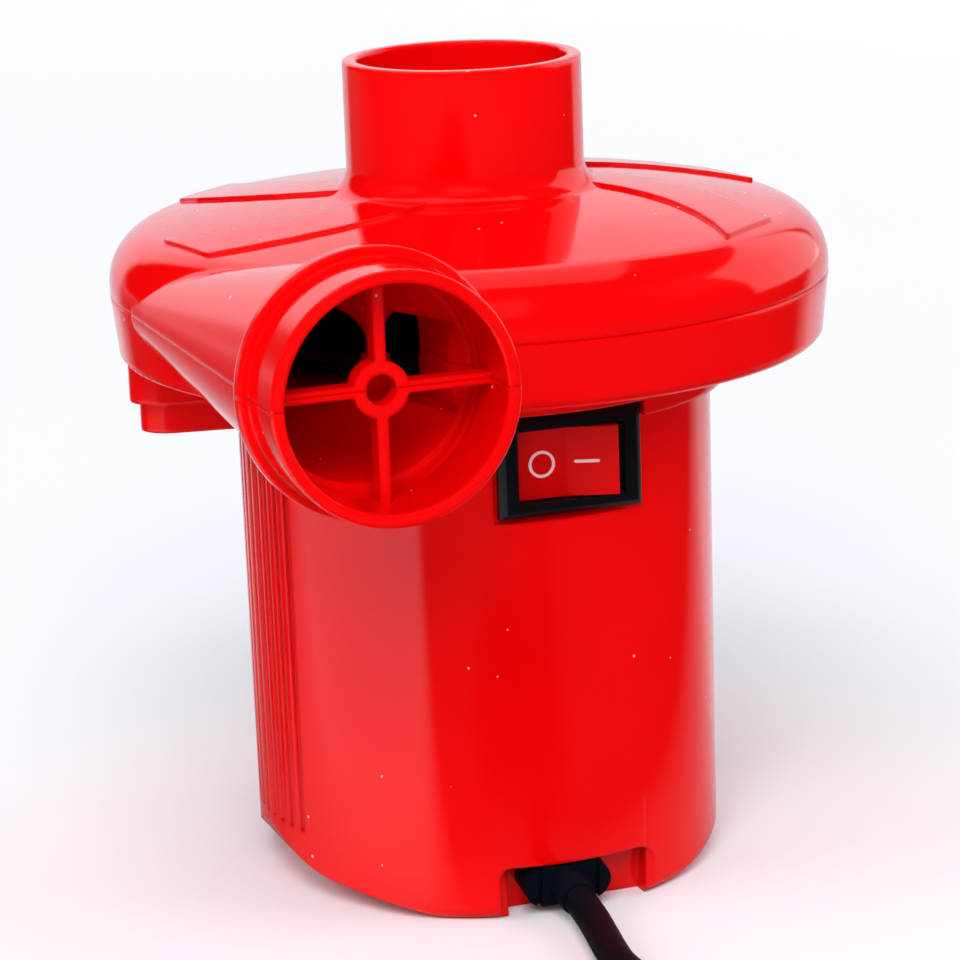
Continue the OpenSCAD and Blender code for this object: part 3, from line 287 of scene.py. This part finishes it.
def new_group(name, inputs, outputs):
    """Shader node group with float or vector inputs and float outputs."""
    group = bpy.data.node_groups.new(name, "ShaderNodeTree")
    for label, kind, value in inputs:
        socket = group.interface.new_socket(label, in_out="INPUT", socket_type=kind)
        if value is not None:
            socket.default_value = value
    for label in outputs:
        group.interface.new_socket(label, in_out="OUTPUT", socket_type="NodeSocketFloat")
    entry = add_node(group, "NodeGroupInput", -900, 0)
    leave = add_node(group, "NodeGroupOutput", 700, 0)
    return group, entry, leave


def math_node(tree, operation, x, y, first, second):
    """Math node whose operands are sockets or numbers."""
    made = add_node(tree, "ShaderNodeMath", x, y, operation=operation)
    for slot, value in ((0, first), (1, second)):
        if isinstance(value, (int, float)):
            made.inputs[slot].default_value = value
        else:
            tree.links.new(value, made.inputs[slot])
    return made.outputs[0]


def remap(tree, x, y, value, low, high, to_low=0.0, to_high=1.0):
    """Takes a value's range from low to high to another range, and clamps it there."""
    made = add_node(tree, "ShaderNodeMapRange", x, y)
    made.inputs["From Min"].default_value = low
    made.inputs["From Max"].default_value = high
    made.inputs["To Min"].default_value = to_low
    made.inputs["To Max"].default_value = to_high
    tree.links.new(value, made.inputs["Value"])
    return made.outputs["Result"]


def moulding_group():
    """Faint mottle, flow waves and fine texture of a moulded surface."""
    name = "Moulded surface"
    if name in bpy.data.node_groups:
        return bpy.data.node_groups[name]
    group, entry, leave = new_group(
        name,
        [("Vector", "NodeSocketVector", None), ("Flow scale", "NodeSocketFloat", 30.0),
         ("Grain scale", "NodeSocketFloat", 900.0)],
        ["Mottle", "Grain"],
    )
    flow = add_node(group, "ShaderNodeTexNoise", -600, 200, {"Detail": 3.0, "Roughness": 0.55})
    grain = add_node(group, "ShaderNodeTexNoise", -600, -150, {"Detail": 2.0, "Roughness": 0.5})
    for noise, scale in ((flow, "Flow scale"), (grain, "Grain scale")):
        group.links.new(entry.outputs["Vector"], noise.inputs["Vector"])
        group.links.new(entry.outputs[scale], noise.inputs["Scale"])
    mottle = remap(group, -300, 200, flow.outputs["Fac"], *NOISE_RANGE)
    group.links.new(mottle, leave.inputs["Mottle"])
    group.links.new(grain.outputs["Fac"], leave.inputs["Grain"])
    return group


def dust_group():
    """Sparse specks of dust and fine handling scratches, as masks."""
    name = "Dust and scratches"
    clean_share = 0.55
    scratch_edge = (0.70, 0.76)
    worn_edge = (0.52, 0.68)
    if name in bpy.data.node_groups:
        return bpy.data.node_groups[name]
    group, entry, leave = new_group(
        name,
        [("Vector", "NodeSocketVector", None), ("Speck scale", "NodeSocketFloat", 260.0),
         ("Speck size", "NodeSocketFloat", 0.09)],
        ["Specks", "Scratches"],
    )
    cells = add_node(group, "ShaderNodeTexVoronoi", -650, 250, feature="F1")
    group.links.new(entry.outputs["Vector"], cells.inputs["Vector"])
    group.links.new(entry.outputs["Speck scale"], cells.inputs["Scale"])
    pick = add_node(group, "ShaderNodeSeparateColor", -450, 120)
    group.links.new(cells.outputs["Color"], pick.inputs["Color"])
    chosen = math_node(group, "GREATER_THAN", -250, 120, pick.outputs[0], clean_share)
    size = math_node(group, "MULTIPLY", -450, -40, entry.outputs["Speck size"], pick.outputs[1])
    inside = math_node(group, "LESS_THAN", -250, 280, cells.outputs["Distance"], size)
    specks = math_node(group, "MULTIPLY", -50, 220, inside, chosen)
    group.links.new(specks, leave.inputs["Specks"])
    turned = add_node(group, "ShaderNodeMapping", -700, -280)
    turned.inputs["Rotation"].default_value = (0.5, 0.9, 0.3)
    turned.inputs["Scale"].default_value = (40.0, 900.0, 900.0)
    group.links.new(entry.outputs["Vector"], turned.inputs["Vector"])
    streak = add_node(group, "ShaderNodeTexNoise", -480, -280, {"Scale": 1.0, "Detail": 1.0})
    group.links.new(turned.outputs["Vector"], streak.inputs["Vector"])
    lines = remap(group, -250, -280, streak.outputs["Fac"], *scratch_edge)
    patch = add_node(group, "ShaderNodeTexNoise", -480, -500, {"Scale": 55.0, "Detail": 1.0})
    group.links.new(entry.outputs["Vector"], patch.inputs["Vector"])
    worn = remap(group, -250, -500, patch.outputs["Fac"], *worn_edge)
    group.links.new(math_node(group, "MULTIPLY", 0, -350, lines, worn), leave.inputs["Scratches"])
    return group


def new_material(name):
    """Material with one shader. Also gives its tree, the shader and the Object coordinates."""
    made = bpy.data.materials.new(name)
    made.use_nodes = True
    made.node_tree.nodes.clear()
    tree = made.node_tree
    shader = add_node(tree, "ShaderNodeBsdfPrincipled", 600, 0)
    out = add_node(tree, "ShaderNodeOutputMaterial", 900, 0)
    tree.links.new(shader.outputs["BSDF"], out.inputs["Surface"])
    place = add_node(tree, "ShaderNodeTexCoord", -900, 0)
    return made, tree, shader, place.outputs["Object"]


def mix_colour(tree, x, y, mask, first, second):
    """Mix node that goes from the first colour to the second as the mask goes from 0 to 1."""
    made = add_node(tree, "ShaderNodeMix", x, y, data_type="RGBA")
    tree.links.new(mask, made.inputs["Factor"])
    for slot, value in (("A", first), ("B", second)):
        socket = next(s for s in made.inputs if s.name == slot and s.type == "RGBA")
        if isinstance(value, bpy.types.NodeSocket):
            tree.links.new(value, socket)
        else:
            socket.default_value = value
    return next(s for s in made.outputs if s.type == "RGBA")


def shaded(colour, factor):
    """Darker tone of a colour."""
    return (colour[0] * factor, colour[1] * factor, colour[2] * factor, 1)


def plastic(
    name, colour, rough, grain_scale, grain, dust,
    dust_size=0.09, speck=PALE_DUST, edge=0.0, mirror=0.5,
):
    """Moulded plastic: mottled colour and gloss, fine surface texture, specks and scratches."""
    mottle_tone = 0.93
    gloss_spread = (0.88, 1.12)
    scratch_dulling = 0.16
    dust_dulling = 0.4
    if name in bpy.data.materials:
        return bpy.data.materials[name]
    made, tree, shader, place = new_material(name)
    surface = add_node(tree, "ShaderNodeGroup", -650, 150, node_tree=moulding_group())
    surface.inputs["Grain scale"].default_value = grain_scale
    dirt = add_node(tree, "ShaderNodeGroup", -650, -200, node_tree=dust_group())
    dirt.inputs["Speck size"].default_value = dust_size
    for group in (surface, dirt):
        tree.links.new(place, group.inputs["Vector"])
    mottle = surface.outputs["Mottle"]
    body = mix_colour(tree, -300, 300, mottle, shaded(colour, mottle_tone), tuple(colour))
    faint = math_node(tree, "MULTIPLY", -300, 50, dirt.outputs["Specks"], dust)
    tree.links.new(mix_colour(tree, 0, 250, faint, body, speck), shader.inputs["Base Color"])
    gloss = remap(tree, -300, -120, mottle, 0, 1, *(rough * share for share in gloss_spread))
    dull = math_node(tree, "MULTIPLY", -300, -400, dirt.outputs["Scratches"], scratch_dulling)
    dusty = math_node(tree, "MULTIPLY", -100, -300, faint, dust_dulling)
    wear = math_node(tree, "ADD", 50, -350, dull, dusty)
    tree.links.new(math_node(tree, "ADD", 50, -150, gloss, wear), shader.inputs["Roughness"])
    bump = add_node(tree, "ShaderNodeBump", 300, -350)
    bump.inputs["Strength"].default_value = grain
    bump.inputs["Distance"].default_value = GRAIN_DEPTH
    tree.links.new(surface.outputs["Grain"], bump.inputs["Height"])
    shader.inputs["Specular IOR Level"].default_value = mirror
    if edge:
        soft = add_node(tree, "ShaderNodeBevel", 50, -550, {"Radius": edge}, samples=6)
        tree.links.new(soft.outputs["Normal"], bump.inputs["Normal"])
    tree.links.new(bump.outputs["Normal"], shader.inputs["Normal"])
    return made


def metal(name, colour, rough, bands=(900.0, 900.0, 60.0)):
    """Drawn or turned metal with fine bands and a mottled tone."""
    mottle_tone = 0.8
    gloss_spread = (0.8, 1.25)
    band_relief = 0.15
    if name in bpy.data.materials:
        return bpy.data.materials[name]
    made, tree, shader, place = new_material(name)
    stretch = add_node(tree, "ShaderNodeMapping", -700, 0)
    stretch.inputs["Scale"].default_value = bands
    tree.links.new(place, stretch.inputs["Vector"])
    lines = add_node(tree, "ShaderNodeTexNoise", -500, 0, {"Scale": 1.0, "Detail": 2.0})
    tree.links.new(stretch.outputs["Vector"], lines.inputs["Vector"])
    surface = add_node(tree, "ShaderNodeGroup", -500, 300, node_tree=moulding_group())
    tree.links.new(place, surface.inputs["Vector"])
    mottle = surface.outputs["Mottle"]
    tone = mix_colour(tree, -150, 250, mottle, shaded(colour, mottle_tone), tuple(colour))
    tree.links.new(tone, shader.inputs["Base Color"])
    shader.inputs["Metallic"].default_value = 1.0
    gloss = (rough * share for share in gloss_spread)
    tree.links.new(
        remap(tree, -150, -50, lines.outputs["Fac"], *NOISE_RANGE, *gloss),
        shader.inputs["Roughness"],
    )
    bump = add_node(tree, "ShaderNodeBump", 200, -300)
    bump.inputs["Strength"].default_value = band_relief
    bump.inputs["Distance"].default_value = GRAIN_DEPTH
    tree.links.new(lines.outputs["Fac"], bump.inputs["Height"])
    tree.links.new(bump.outputs["Normal"], shader.inputs["Normal"])
    return made


def banded(name, colour, gap, scale, metallic, rough):
    """Wound wire or stacked sheets: bands along the shaft with darker, duller gaps between them."""
    gap_edge = (0.1, 0.5)
    gap_dulling = 1.3
    band_relief = 0.6
    if name in bpy.data.materials:
        return bpy.data.materials[name]
    made, tree, shader, place = new_material(name)
    wave = add_node(
        tree, "ShaderNodeTexWave", -600, 0, {"Scale": scale, "Distortion": 0.6, "Detail": 1.0},
        wave_type="BANDS", bands_direction="Z",
    )
    tree.links.new(place, wave.inputs["Vector"])
    between = remap(tree, -350, 100, wave.outputs["Fac"], *gap_edge)
    tree.links.new(mix_colour(tree, 0, 200, between, gap, colour), shader.inputs["Base Color"])
    tree.links.new(
        remap(tree, 0, -50, wave.outputs["Fac"], 0, 1, rough * gap_dulling, rough),
        shader.inputs["Roughness"],
    )
    shader.inputs["Metallic"].default_value = metallic
    bump = add_node(tree, "ShaderNodeBump", 250, -300)
    bump.inputs["Strength"].default_value = band_relief
    bump.inputs["Distance"].default_value = WIRE_DEPTH
    tree.links.new(wave.outputs["Fac"], bump.inputs["Height"])
    tree.links.new(bump.outputs["Normal"], shader.inputs["Normal"])
    return made


def red_shell():
    """Glossy red of the casing and the motor housing, with edges a little rounded in the light."""
    return plastic(
        "red_shell", bpy.context.scene.pump_colours.red,
        rough=0.09, grain_scale=700.0, grain=0.04, dust=0.5, edge=0.0008,
    )


def rocker_red():
    """Plain red of the rocker."""
    return plastic(
        "rocker_red", bpy.context.scene.pump_colours.rocker,
        rough=0.14, grain_scale=1500.0, grain=0.06, dust=0.4, dust_size=0.07, mirror=0.4,
    )


def satin_black():
    """Black of bezel, fan, tie and plug."""
    return plastic(
        "satin_black", bpy.context.scene.pump_colours.black,
        rough=0.34, grain_scale=2200.0, grain=0.16, dust=0.35, dust_size=0.08,
        speck=(0.25, 0.25, 0.26, 1), mirror=0.3,
    )


def cord_cover():
    """Dull black of the cord and its bushing."""
    return plastic(
        "cord_cover", bpy.context.scene.pump_colours.cord,
        rough=0.42, grain_scale=2600.0, grain=0.2, dust=0.35, dust_size=0.08,
        speck=(0.2, 0.2, 0.21, 1), mirror=0.03,
    )


def mark_paint():
    """White paint of the marks on the rocker."""
    return plastic(
        "mark_paint", bpy.context.scene.pump_colours.mark,
        rough=0.45, grain_scale=2500.0, grain=0.1, dust=0.2, dust_size=0.05,
    )


def paint(obj, material):
    """Gives an object one material alone."""
    obj.data.materials.clear()
    obj.data.materials.append(material)


def cord_route():
    """Centreline of the cord from the bushing to the plug: lead, stored coil and tail."""
    sizes = bpy.context.scene.pump_sizes
    pitch = sizes.coil_pitch / MM
    turns = sizes.coil_turns
    cord_r = sizes.cord_d / MM / 2
    out = Vector((0, -math.cos(BUSHING_TILT), -math.sin(BUSHING_TILT)))
    low_z = cord_r + COIL_LIFT
    floor_z = cord_r + FLOOR_GAP
    least_r = COIL_MEAN_R - pitch * turns / 4
    end_l = 2 * cord_r

    def ease(s):
        """Goes from 0 to 1 with level ends."""
        s = max(0.0, min(1.0, s))
        return s * s * (3 - 2 * s)

    def on_coil(t):
        """Place in the coil after so many turns: inwards in the lower layer, outwards in the upper."""
        r = least_r + pitch * abs(t - turns / 2)
        a = -2 * math.pi * t
        z = low_z + pitch * ease(2 * (t - turns / 2) + 0.5)
        return Vector(COIL_CENTRE) + Vector((r * math.cos(a), r * math.sin(a), z))

    start = on_coil(0) + Vector((0, end_l, 0))
    lead = [Vector(BUSHING_FACE) + (NOSE_L + along) * out for along in (0, NOSE_STRAIGHT)]
    lead += [
        Vector(p) for p in (
            (-0.4, -44, 2.5), (-1.3, -49.5, floor_z), (-2.3, -55, floor_z), (-3, -60.5, floor_z),
            (-2.8, -66.5, floor_z), (-1.3, -73, 2.4), (2.9, -80.1, 2.5), (9.4, -85.7, 2.75),
            (16, -91.3, 3), (20.4, -98.8, 3.25),
        )
    ]
    lead += [start + Vector((0, along, 0)) for along in LEAD_IN]
    steps = round(turns * POINTS_A_TURN)
    coil = [on_coil(turns * i / steps) for i in range(steps + 1)]
    a = -2 * math.pi * turns
    heading = Vector((math.sin(a), -math.cos(a), 0))
    leave = coil[-1] + end_l * heading
    tail = []
    for s in TAIL_STEPS:
        p = leave + s * TAIL_L * heading
        p.z = leave.z + (PLUG_ENTRY_Z - leave.z) * ease((s - TAIL_FLAT) / TAIL_RISE)
        tail.append(p)
    return [p * MM for p in lead + coil + tail]


def smooth_line(points, per_span):
    """Points on a smooth curve through the given ones."""
    made = []
    for i in range(len(points) - 1):
        a, b, c, d = (points[max(0, min(len(points) - 1, i + k))] for k in (-1, 0, 1, 2))
        for k in range(per_span):
            t = k / per_span
            made.append(
                0.5 * (2 * b + (c - a) * t + (2 * a - 5 * b + 4 * c - d) * t * t
                       + (3 * b - a - 3 * c + d) * t ** 3)
            )
    return made + [points[-1]]


class PUMP_OT_stage(bpy.types.Operator):
    """Floor with backdrop, lamps, world and the camera at the photo's angle"""

    bl_idname = "pump.stage"
    bl_label = "Stage"

    def execute(self, context):
        stage = context.scene.pump_stage
        context.scene.view_settings.view_transform = "Standard"
        az = stage.azimuth
        el = stage.elevation
        back = Vector((math.sin(az) * math.cos(el), -math.cos(az) * math.cos(el), math.sin(el)))
        lens = bpy.data.cameras.new("camera")
        lens.lens = stage.lens
        lens.sensor_width = SENSOR_W
        lens.clip_start, lens.clip_end = CLIP_RANGE
        camera = bpy.data.objects.new("camera", lens)
        context.scene.collection.objects.link(camera)
        camera.rotation_mode = "QUATERNION"
        camera.location = Vector(stage.aim) + back * stage.distance
        turn = Quaternion((0, 0, 1), stage.roll)
        camera.rotation_quaternion = (-back).to_track_quat("-Z", "Y") @ turn
        context.scene.camera = camera
        self.make_floor(context)
        self.make_lamps(context)
        return {"FINISHED"}

    def make_floor(self, context):
        """Floor that sweeps up into a backdrop behind the pump."""
        deselect_all()
        bpy.ops.mesh.primitive_plane_add(size=FLOOR_SIZE, location=(0, 0, 0))
        floor = context.object
        floor.name = "floor"
        bpy.ops.object.mode_set(mode="EDIT")
        bpy.ops.mesh.select_all(action="DESELECT")
        bpy.ops.mesh.select_mode(type="EDGE")
        bpy.ops.object.mode_set(mode="OBJECT")
        for edge in floor.data.edges:
            edge.select = all(floor.data.vertices[i].co.y > FLOOR_BACK_Y for i in edge.vertices)
        bpy.ops.object.mode_set(mode="EDIT")
        bpy.ops.mesh.extrude_region_move(TRANSFORM_OT_translate={"value": (0, 0, BACKDROP_H)})
        bpy.ops.object.mode_set(mode="OBJECT")
        for edge in floor.data.edges:
            edge.select = all(
                floor.data.vertices[i].co.y > FLOOR_BACK_Y
                and floor.data.vertices[i].co.z < BACKDROP_H / 2
                for i in edge.vertices
            )
        bpy.ops.object.mode_set(mode="EDIT")
        bpy.ops.mesh.bevel(offset=SWEEP_R, segments=SWEEP_STEPS, affect="EDGES")
        bpy.ops.mesh.faces_shade_smooth()
        bpy.ops.object.mode_set(mode="OBJECT")
        paint(floor, self.floor_paper(context))

    def floor_paper(self, context):
        """Matt studio paper, a little mottled, with painted reflections: near black in front of the
        pump, glowing behind.
        """
        mottle_tone = 0.985
        painted_dark_reflection_tone = 0.02
        made, tree, shader, place = new_material("floor_paper")
        surface = add_node(tree, "ShaderNodeGroup", -600, 100, node_tree=moulding_group())
        surface.inputs["Flow scale"].default_value = 6.0
        tree.links.new(place, surface.inputs["Vector"])
        colour = context.scene.pump_colours.floor
        mottle = surface.outputs["Mottle"]
        tone = mix_colour(tree, -200, 200, mottle, shaded(colour, mottle_tone), tuple(colour))
        rays = add_node(tree, "ShaderNodeLightPath", -900, -500)
        glossy = rays.outputs["Is Glossy Ray"]
        reach = add_node(tree, "ShaderNodeVectorMath", -700, -350, operation="LENGTH")
        tree.links.new(place, reach.inputs[0])

        def past(across, low, high):
            """Goes from 0 to 1 as the place moves across a line on the floor."""
            along = add_node(
                tree, "ShaderNodeVectorMath", -700, -200, {1: across}, operation="DOT_PRODUCT"
            )
            tree.links.new(place, along.inputs[0])
            return remap(tree, -500, -200, along.outputs["Value"], low, high)

        # Painted dark reflection: where gloss rays from the pump meet the floor close in front of it,
        # the paper's colour is made near black, so the shell mirrors dark there.
        near = remap(tree, -500, -350, reach.outputs["Value"], *NEAR_REACH)
        front = math_node(tree, "MULTIPLY", -400, -400, past(*FRONT_EDGE), near)
        left = math_node(tree, "MULTIPLY", -300, -350, past(*LEFT_EDGE), front)
        back = math_node(tree, "MULTIPLY", -300, -200, past(*BACK_EDGE), past(*BACK_END))
        bright = math_node(tree, "MAXIMUM", -150, -250, left, back)
        dull = math_node(tree, "SUBTRACT", 0, -250, 1.0, bright)
        mirrored = math_node(tree, "MULTIPLY", 100, -250, glossy, dull)
        # Painted dark reflection: the paper's tone for all other rays, near black where gloss sees the
        # front zone.
        base = mix_colour(tree, 250, 100, mirrored, tone, shaded(colour, painted_dark_reflection_tone))
        tree.links.new(base, shader.inputs["Base Color"])
        far = remap(tree, -500, -480, reach.outputs["Value"], *WHITE_REACH)
        far_white = math_node(tree, "MULTIPLY", 100, -450, self.seen_directly(tree, rays), far)
        # Painted highlight: seen by gloss behind the pump on the left, the floor glows, so the pump's
        # flank mirrors a bright band.
        inside = math_node(tree, "MULTIPLY", -100, -650, past(*GLOW_END), past(*GLOW_RISE))
        painted_highlight_glow = math_node(tree, "MULTIPLY", 100, -600, glossy, inside)
        glow = math_node(tree, "ADD", 250, -500, far_white, painted_highlight_glow)
        pale = mix_colour(tree, 400, -500, glow, (0, 0, 0, 1), FLOOR_GLOW)
        tree.links.new(pale, shader.inputs["Emission Color"])
        shader.inputs["Emission Strength"].default_value = 1.0
        shader.inputs["Roughness"].default_value = 0.9
        shader.inputs["Specular IOR Level"].default_value = 0.0
        return made

    def seen_directly(self, tree, rays):
        """1 where the stage is looked at, straight or through something clear."""
        return math_node(
            tree, "MAXIMUM", -400, -550,
            rays.outputs["Is Camera Ray"], rays.outputs["Is Transmission Ray"],
        )

    def make_lamps(self, context):
        """White surroundings that light softly and mirror darker, and the lamps."""
        world = bpy.data.worlds.new("studio")
        world.use_nodes = True
        context.scene.world = world
        tree = world.node_tree
        sky = tree.nodes["Background"]
        rays = add_node(tree, "ShaderNodeLightPath", -600, 0)
        lit = mix_colour(tree, -400, 0, rays.outputs["Is Glossy Ray"], WORLD_SOFT, WORLD_DIM)
        white = mix_colour(tree, -200, 0, self.seen_directly(tree, rays), lit, (1, 1, 1, 1))
        tree.links.new(white, sky.inputs["Color"])
        sky.inputs["Strength"].default_value = 1.0
        for name, place, aim, width, height, watts, mirrored in LAMPS:
            lamp = bpy.data.lights.new(name, "AREA")
            lamp.shape = "RECTANGLE"
            lamp.size = width
            lamp.size_y = height
            lamp.energy = watts
            made = bpy.data.objects.new(name, lamp)
            context.scene.collection.objects.link(made)
            made.location = place
            made.rotation_mode = "QUATERNION"
            made.rotation_quaternion = (Vector(aim) - Vector(place)).to_track_quat("-Z", "Y")
            made.visible_glossy = mirrored


class PUMP_OT_rocker(bpy.types.Operator):
    """Rocker with soft edges and the painted marks for off and on"""

    bl_idname = "pump.rocker"
    bl_label = "Rocker"

    def execute(self, context):
        rocker = merged_copy("switch_rocker", "rocker_cap")
        soften(rocker, width=0.00045, angle=12, segments=4)
        paint(rocker, rocker_red())
        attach(rocker, "rocker")
        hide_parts("switch_rocker")
        ring = self.place_mark(self.make_ring(context), RING_X)
        bar = self.place_mark(self.make_bar(context), BAR_X)
        deselect_all()
        ring.select_set(True)
        bar.select_set(True)
        context.view_layer.objects.active = ring
        bpy.ops.object.join()
        ring.name = "rocker_marks"
        paint(ring, mark_paint())
        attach(ring, "rocker")
        return {"FINISHED"}

    def place_mark(self, mark, x):
        """Lays a mark made in the XY plane on the rocker's face, at x from its middle."""
        rise = (ROCKER_END_H - ROCKER_VALLEY_H) / ROCKER_HALF_L
        normal = Vector((math.copysign(rise, -x), -1, 0)).normalized()
        side = Vector((0, 0, 1)).cross(normal)
        face = Matrix((side, Vector((0, 0, 1)), normal)).transposed().to_4x4()
        spot = Matrix.Translation((x, -(ROCKER_VALLEY_H + abs(x) * rise), 0))
        pivot = Matrix.Translation(ROCKER_PIVOT) @ Matrix.Rotation(ROCKER_TILT, 4, "Z")
        mark.matrix_world = pivot @ spot @ face
        return settle(mark)

    def make_ring(self, context):
        """Ring for off, in the XY plane."""
        sizes = context.scene.pump_sizes
        deselect_all()
        bpy.ops.mesh.primitive_circle_add(
            vertices=RING_CORNERS, radius=sizes.ring_r, fill_type="NGON", location=(0, 0, -MARK_SINK)
        )
        bpy.ops.object.mode_set(mode="EDIT")
        bpy.ops.mesh.select_all(action="SELECT")
        bpy.ops.mesh.inset(thickness=sizes.stroke)
        bpy.ops.mesh.delete(type="FACE")
        return self.raise_mark(context)

    def make_bar(self, context):
        """Bar for on with rounded ends, in the XY plane."""
        sizes = context.scene.pump_sizes
        deselect_all()
        bpy.ops.mesh.primitive_plane_add(size=sizes.bar_l, location=(0, 0, -MARK_SINK))
        bpy.ops.object.mode_set(mode="EDIT")
        bpy.ops.mesh.select_all(action="SELECT")
        bpy.ops.transform.resize(value=(1, sizes.stroke * BAR_WIDTH / sizes.bar_l, 1))
        bpy.ops.mesh.bevel(
            offset=sizes.stroke * BAR_ROUNDING, segments=BAR_ROUND_STEPS, affect="VERTICES"
        )
        return self.raise_mark(context)

    def raise_mark(self, context):
        """Gives a flat mark its thickness and leaves edit mode."""
        bpy.ops.mesh.select_all(action="SELECT")
        bpy.ops.mesh.extrude_region_move(TRANSFORM_OT_translate={"value": (0, 0, MARK_H)})
        bpy.ops.mesh.select_all(action="SELECT")
        bpy.ops.mesh.normals_make_consistent(inside=False)
        bpy.ops.object.mode_set(mode="OBJECT")
        return context.object


class PUMP_OT_fittings(bpy.types.Operator):
    """Black fittings with moulded edges: bezel, cord bushing, plug and the coil's tie"""

    bl_idname = "pump.fittings"
    bl_label = "Black fittings"

    def execute(self, context):
        for node, name, width, material, slot in (
            ("switch_bezel", "bezel_frame", 0.00025, satin_black(), "black_plastic"),
            ("cord_bushing", "bushing_moulding", 0.0003, cord_cover(), "cord_rubber"),
            ("plug_body", "plug_moulding", 0.0008, satin_black(), "black_plastic"),
            ("coil_tie", "tie_band", 0.0002, satin_black(), "black_plastic"),
        ):
            made = soften(merged_copy(node, name), width, FITTING_EDGE_ANGLE)
            paint(made, material)
            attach(made, "pump")
            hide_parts(node)
        return {"FINISHED"}


class PUMP_OT_cord(bpy.types.Operator):
    """Mains cord from its bushing through the stored coil to the plug"""

    bl_idname = "pump.cord"
    bl_label = "Mains cord"

    def execute(self, context):
        sizes = context.scene.pump_sizes
        line = smooth_line(cord_route(), POINTS_A_SPAN)
        curve = bpy.data.curves.new("mains_cord", "CURVE")
        curve.dimensions = "3D"
        curve.bevel_depth = sizes.cord_d / 2
        curve.bevel_resolution = 5
        curve.use_fill_caps = True
        spline = curve.splines.new("POLY")
        spline.points.add(len(line) - 1)
        for point, place in zip(spline.points, line):
            point.co = (*place, 1)
        spline.use_smooth = True
        cord = bpy.data.objects.new("mains_cord", curve)
        context.scene.collection.objects.link(cord)
        cord.data.materials.append(cord_cover())
        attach(cord, "pump")
        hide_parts("cord_lead", "cord_coil", "cord_tail")
        return {"FINISHED"}


class PUMP_OT_finishes(bpy.types.Operator):
    """Procedural finishes for the CAD nodes that are shown as they are"""

    bl_idname = "pump.finishes"
    bl_label = "Finishes"

    def execute(self, context):
        copper = (0.62, 0.24, 0.09, 1)
        copper_gap = (0.12, 0.04, 0.015, 1)
        iron = (0.17, 0.17, 0.18, 1)
        iron_gap = (0.03, 0.03, 0.03, 1)
        steel = metal("bright_steel", (0.62, 0.62, 0.64, 1), rough=0.3)
        brass = metal("turned_brass", (0.72, 0.52, 0.2, 1), rough=0.28)
        bronze = metal("bearing_bronze", (0.42, 0.27, 0.13, 1), rough=0.45)
        cast = metal(
            "cast_aluminium", (0.68, 0.68, 0.7, 1), rough=0.5, bands=(500.0, 500.0, 500.0)
        )
        winding = banded("winding", copper, copper_gap, scale=420.0, metallic=0.7, rough=0.35)
        sheets = banded("laminations", iron, iron_gap, scale=500.0, metallic=0.6, rough=0.5)
        bars = banded("commutator_bars", copper, copper_gap, scale=900.0, metallic=1.0, rough=0.3)
        carbon = plastic(
            "brush_carbon", (0.02, 0.02, 0.021, 1),
            rough=0.7, grain_scale=3000.0, grain=0.4, dust=0.2,
        )
        sleeve = plastic(
            "lead_sleeve", (0.25, 0.1, 0.04, 1),
            rough=0.45, grain_scale=2500.0, grain=0.15, dust=0.2,
        )
        shell = red_shell()
        finishes = {
            "top_cover": shell, "lower_shell": shell, "motor_housing": shell,
            "cover_screws": steel, "housing_screws": steel, "motor_screws": steel,
            "motor_shaft": steel, "brush_springs": steel, "impeller": satin_black(),
            "impeller_nut": brass, "brush_holders": brass,
            "switch_terminals": brass, "plug_pins": brass,
            "upper_bearing": bronze, "lower_bearing": bronze,
            "upper_bracket": cast, "lower_bracket": cast,
            "armature_core": sheets, "stator_core": sheets,
            "armature_windings": winding, "field_coils": winding,
            "commutator": bars, "carbon_brushes": carbon, "inner_leads": sleeve,
        }
        for node, material in finishes.items():
            paint(NODES[node], material)
        return {"FINISHED"}


class PUMP_PT_panel(bpy.types.Panel):
    """Lists the pump's operators and values"""

    bl_idname = "PUMP_PT_panel"
    bl_label = "Air pump"
    bl_space_type = "VIEW_3D"
    bl_region_type = "UI"
    bl_category = "Air pump"

    def draw(self, context):
        for operator in OPERATORS:
            self.layout.operator(operator.bl_idname)
        scene = context.scene
        for group in (scene.pump_colours, scene.pump_sizes, scene.pump_stage):
            for key in group.__annotations__:
                self.layout.prop(group, key)


OPERATORS = (
    PUMP_OT_stage, PUMP_OT_rocker, PUMP_OT_fittings, PUMP_OT_cord, PUMP_OT_finishes,
)
CLASSES = (PumpColours, PumpSizes, PumpStage, *OPERATORS, PUMP_PT_panel)


def register():
    for cls in CLASSES:
        bpy.utils.register_class(cls)
    bpy.types.Scene.pump_colours = PointerProperty(type=PumpColours)
    bpy.types.Scene.pump_sizes = PointerProperty(type=PumpSizes)
    bpy.types.Scene.pump_stage = PointerProperty(type=PumpStage)


def unregister():
    for name in ("pump_colours", "pump_sizes", "pump_stage"):
        delattr(bpy.types.Scene, name)
    for cls in reversed(CLASSES):
        bpy.utils.unregister_class(cls)


def main():
    register()
    bpy.ops.pump.stage()
    bpy.ops.pump.rocker()
    bpy.ops.pump.fittings()
    bpy.ops.pump.cord()
    bpy.ops.pump.finishes()


if __name__ == "__main__":
    main()
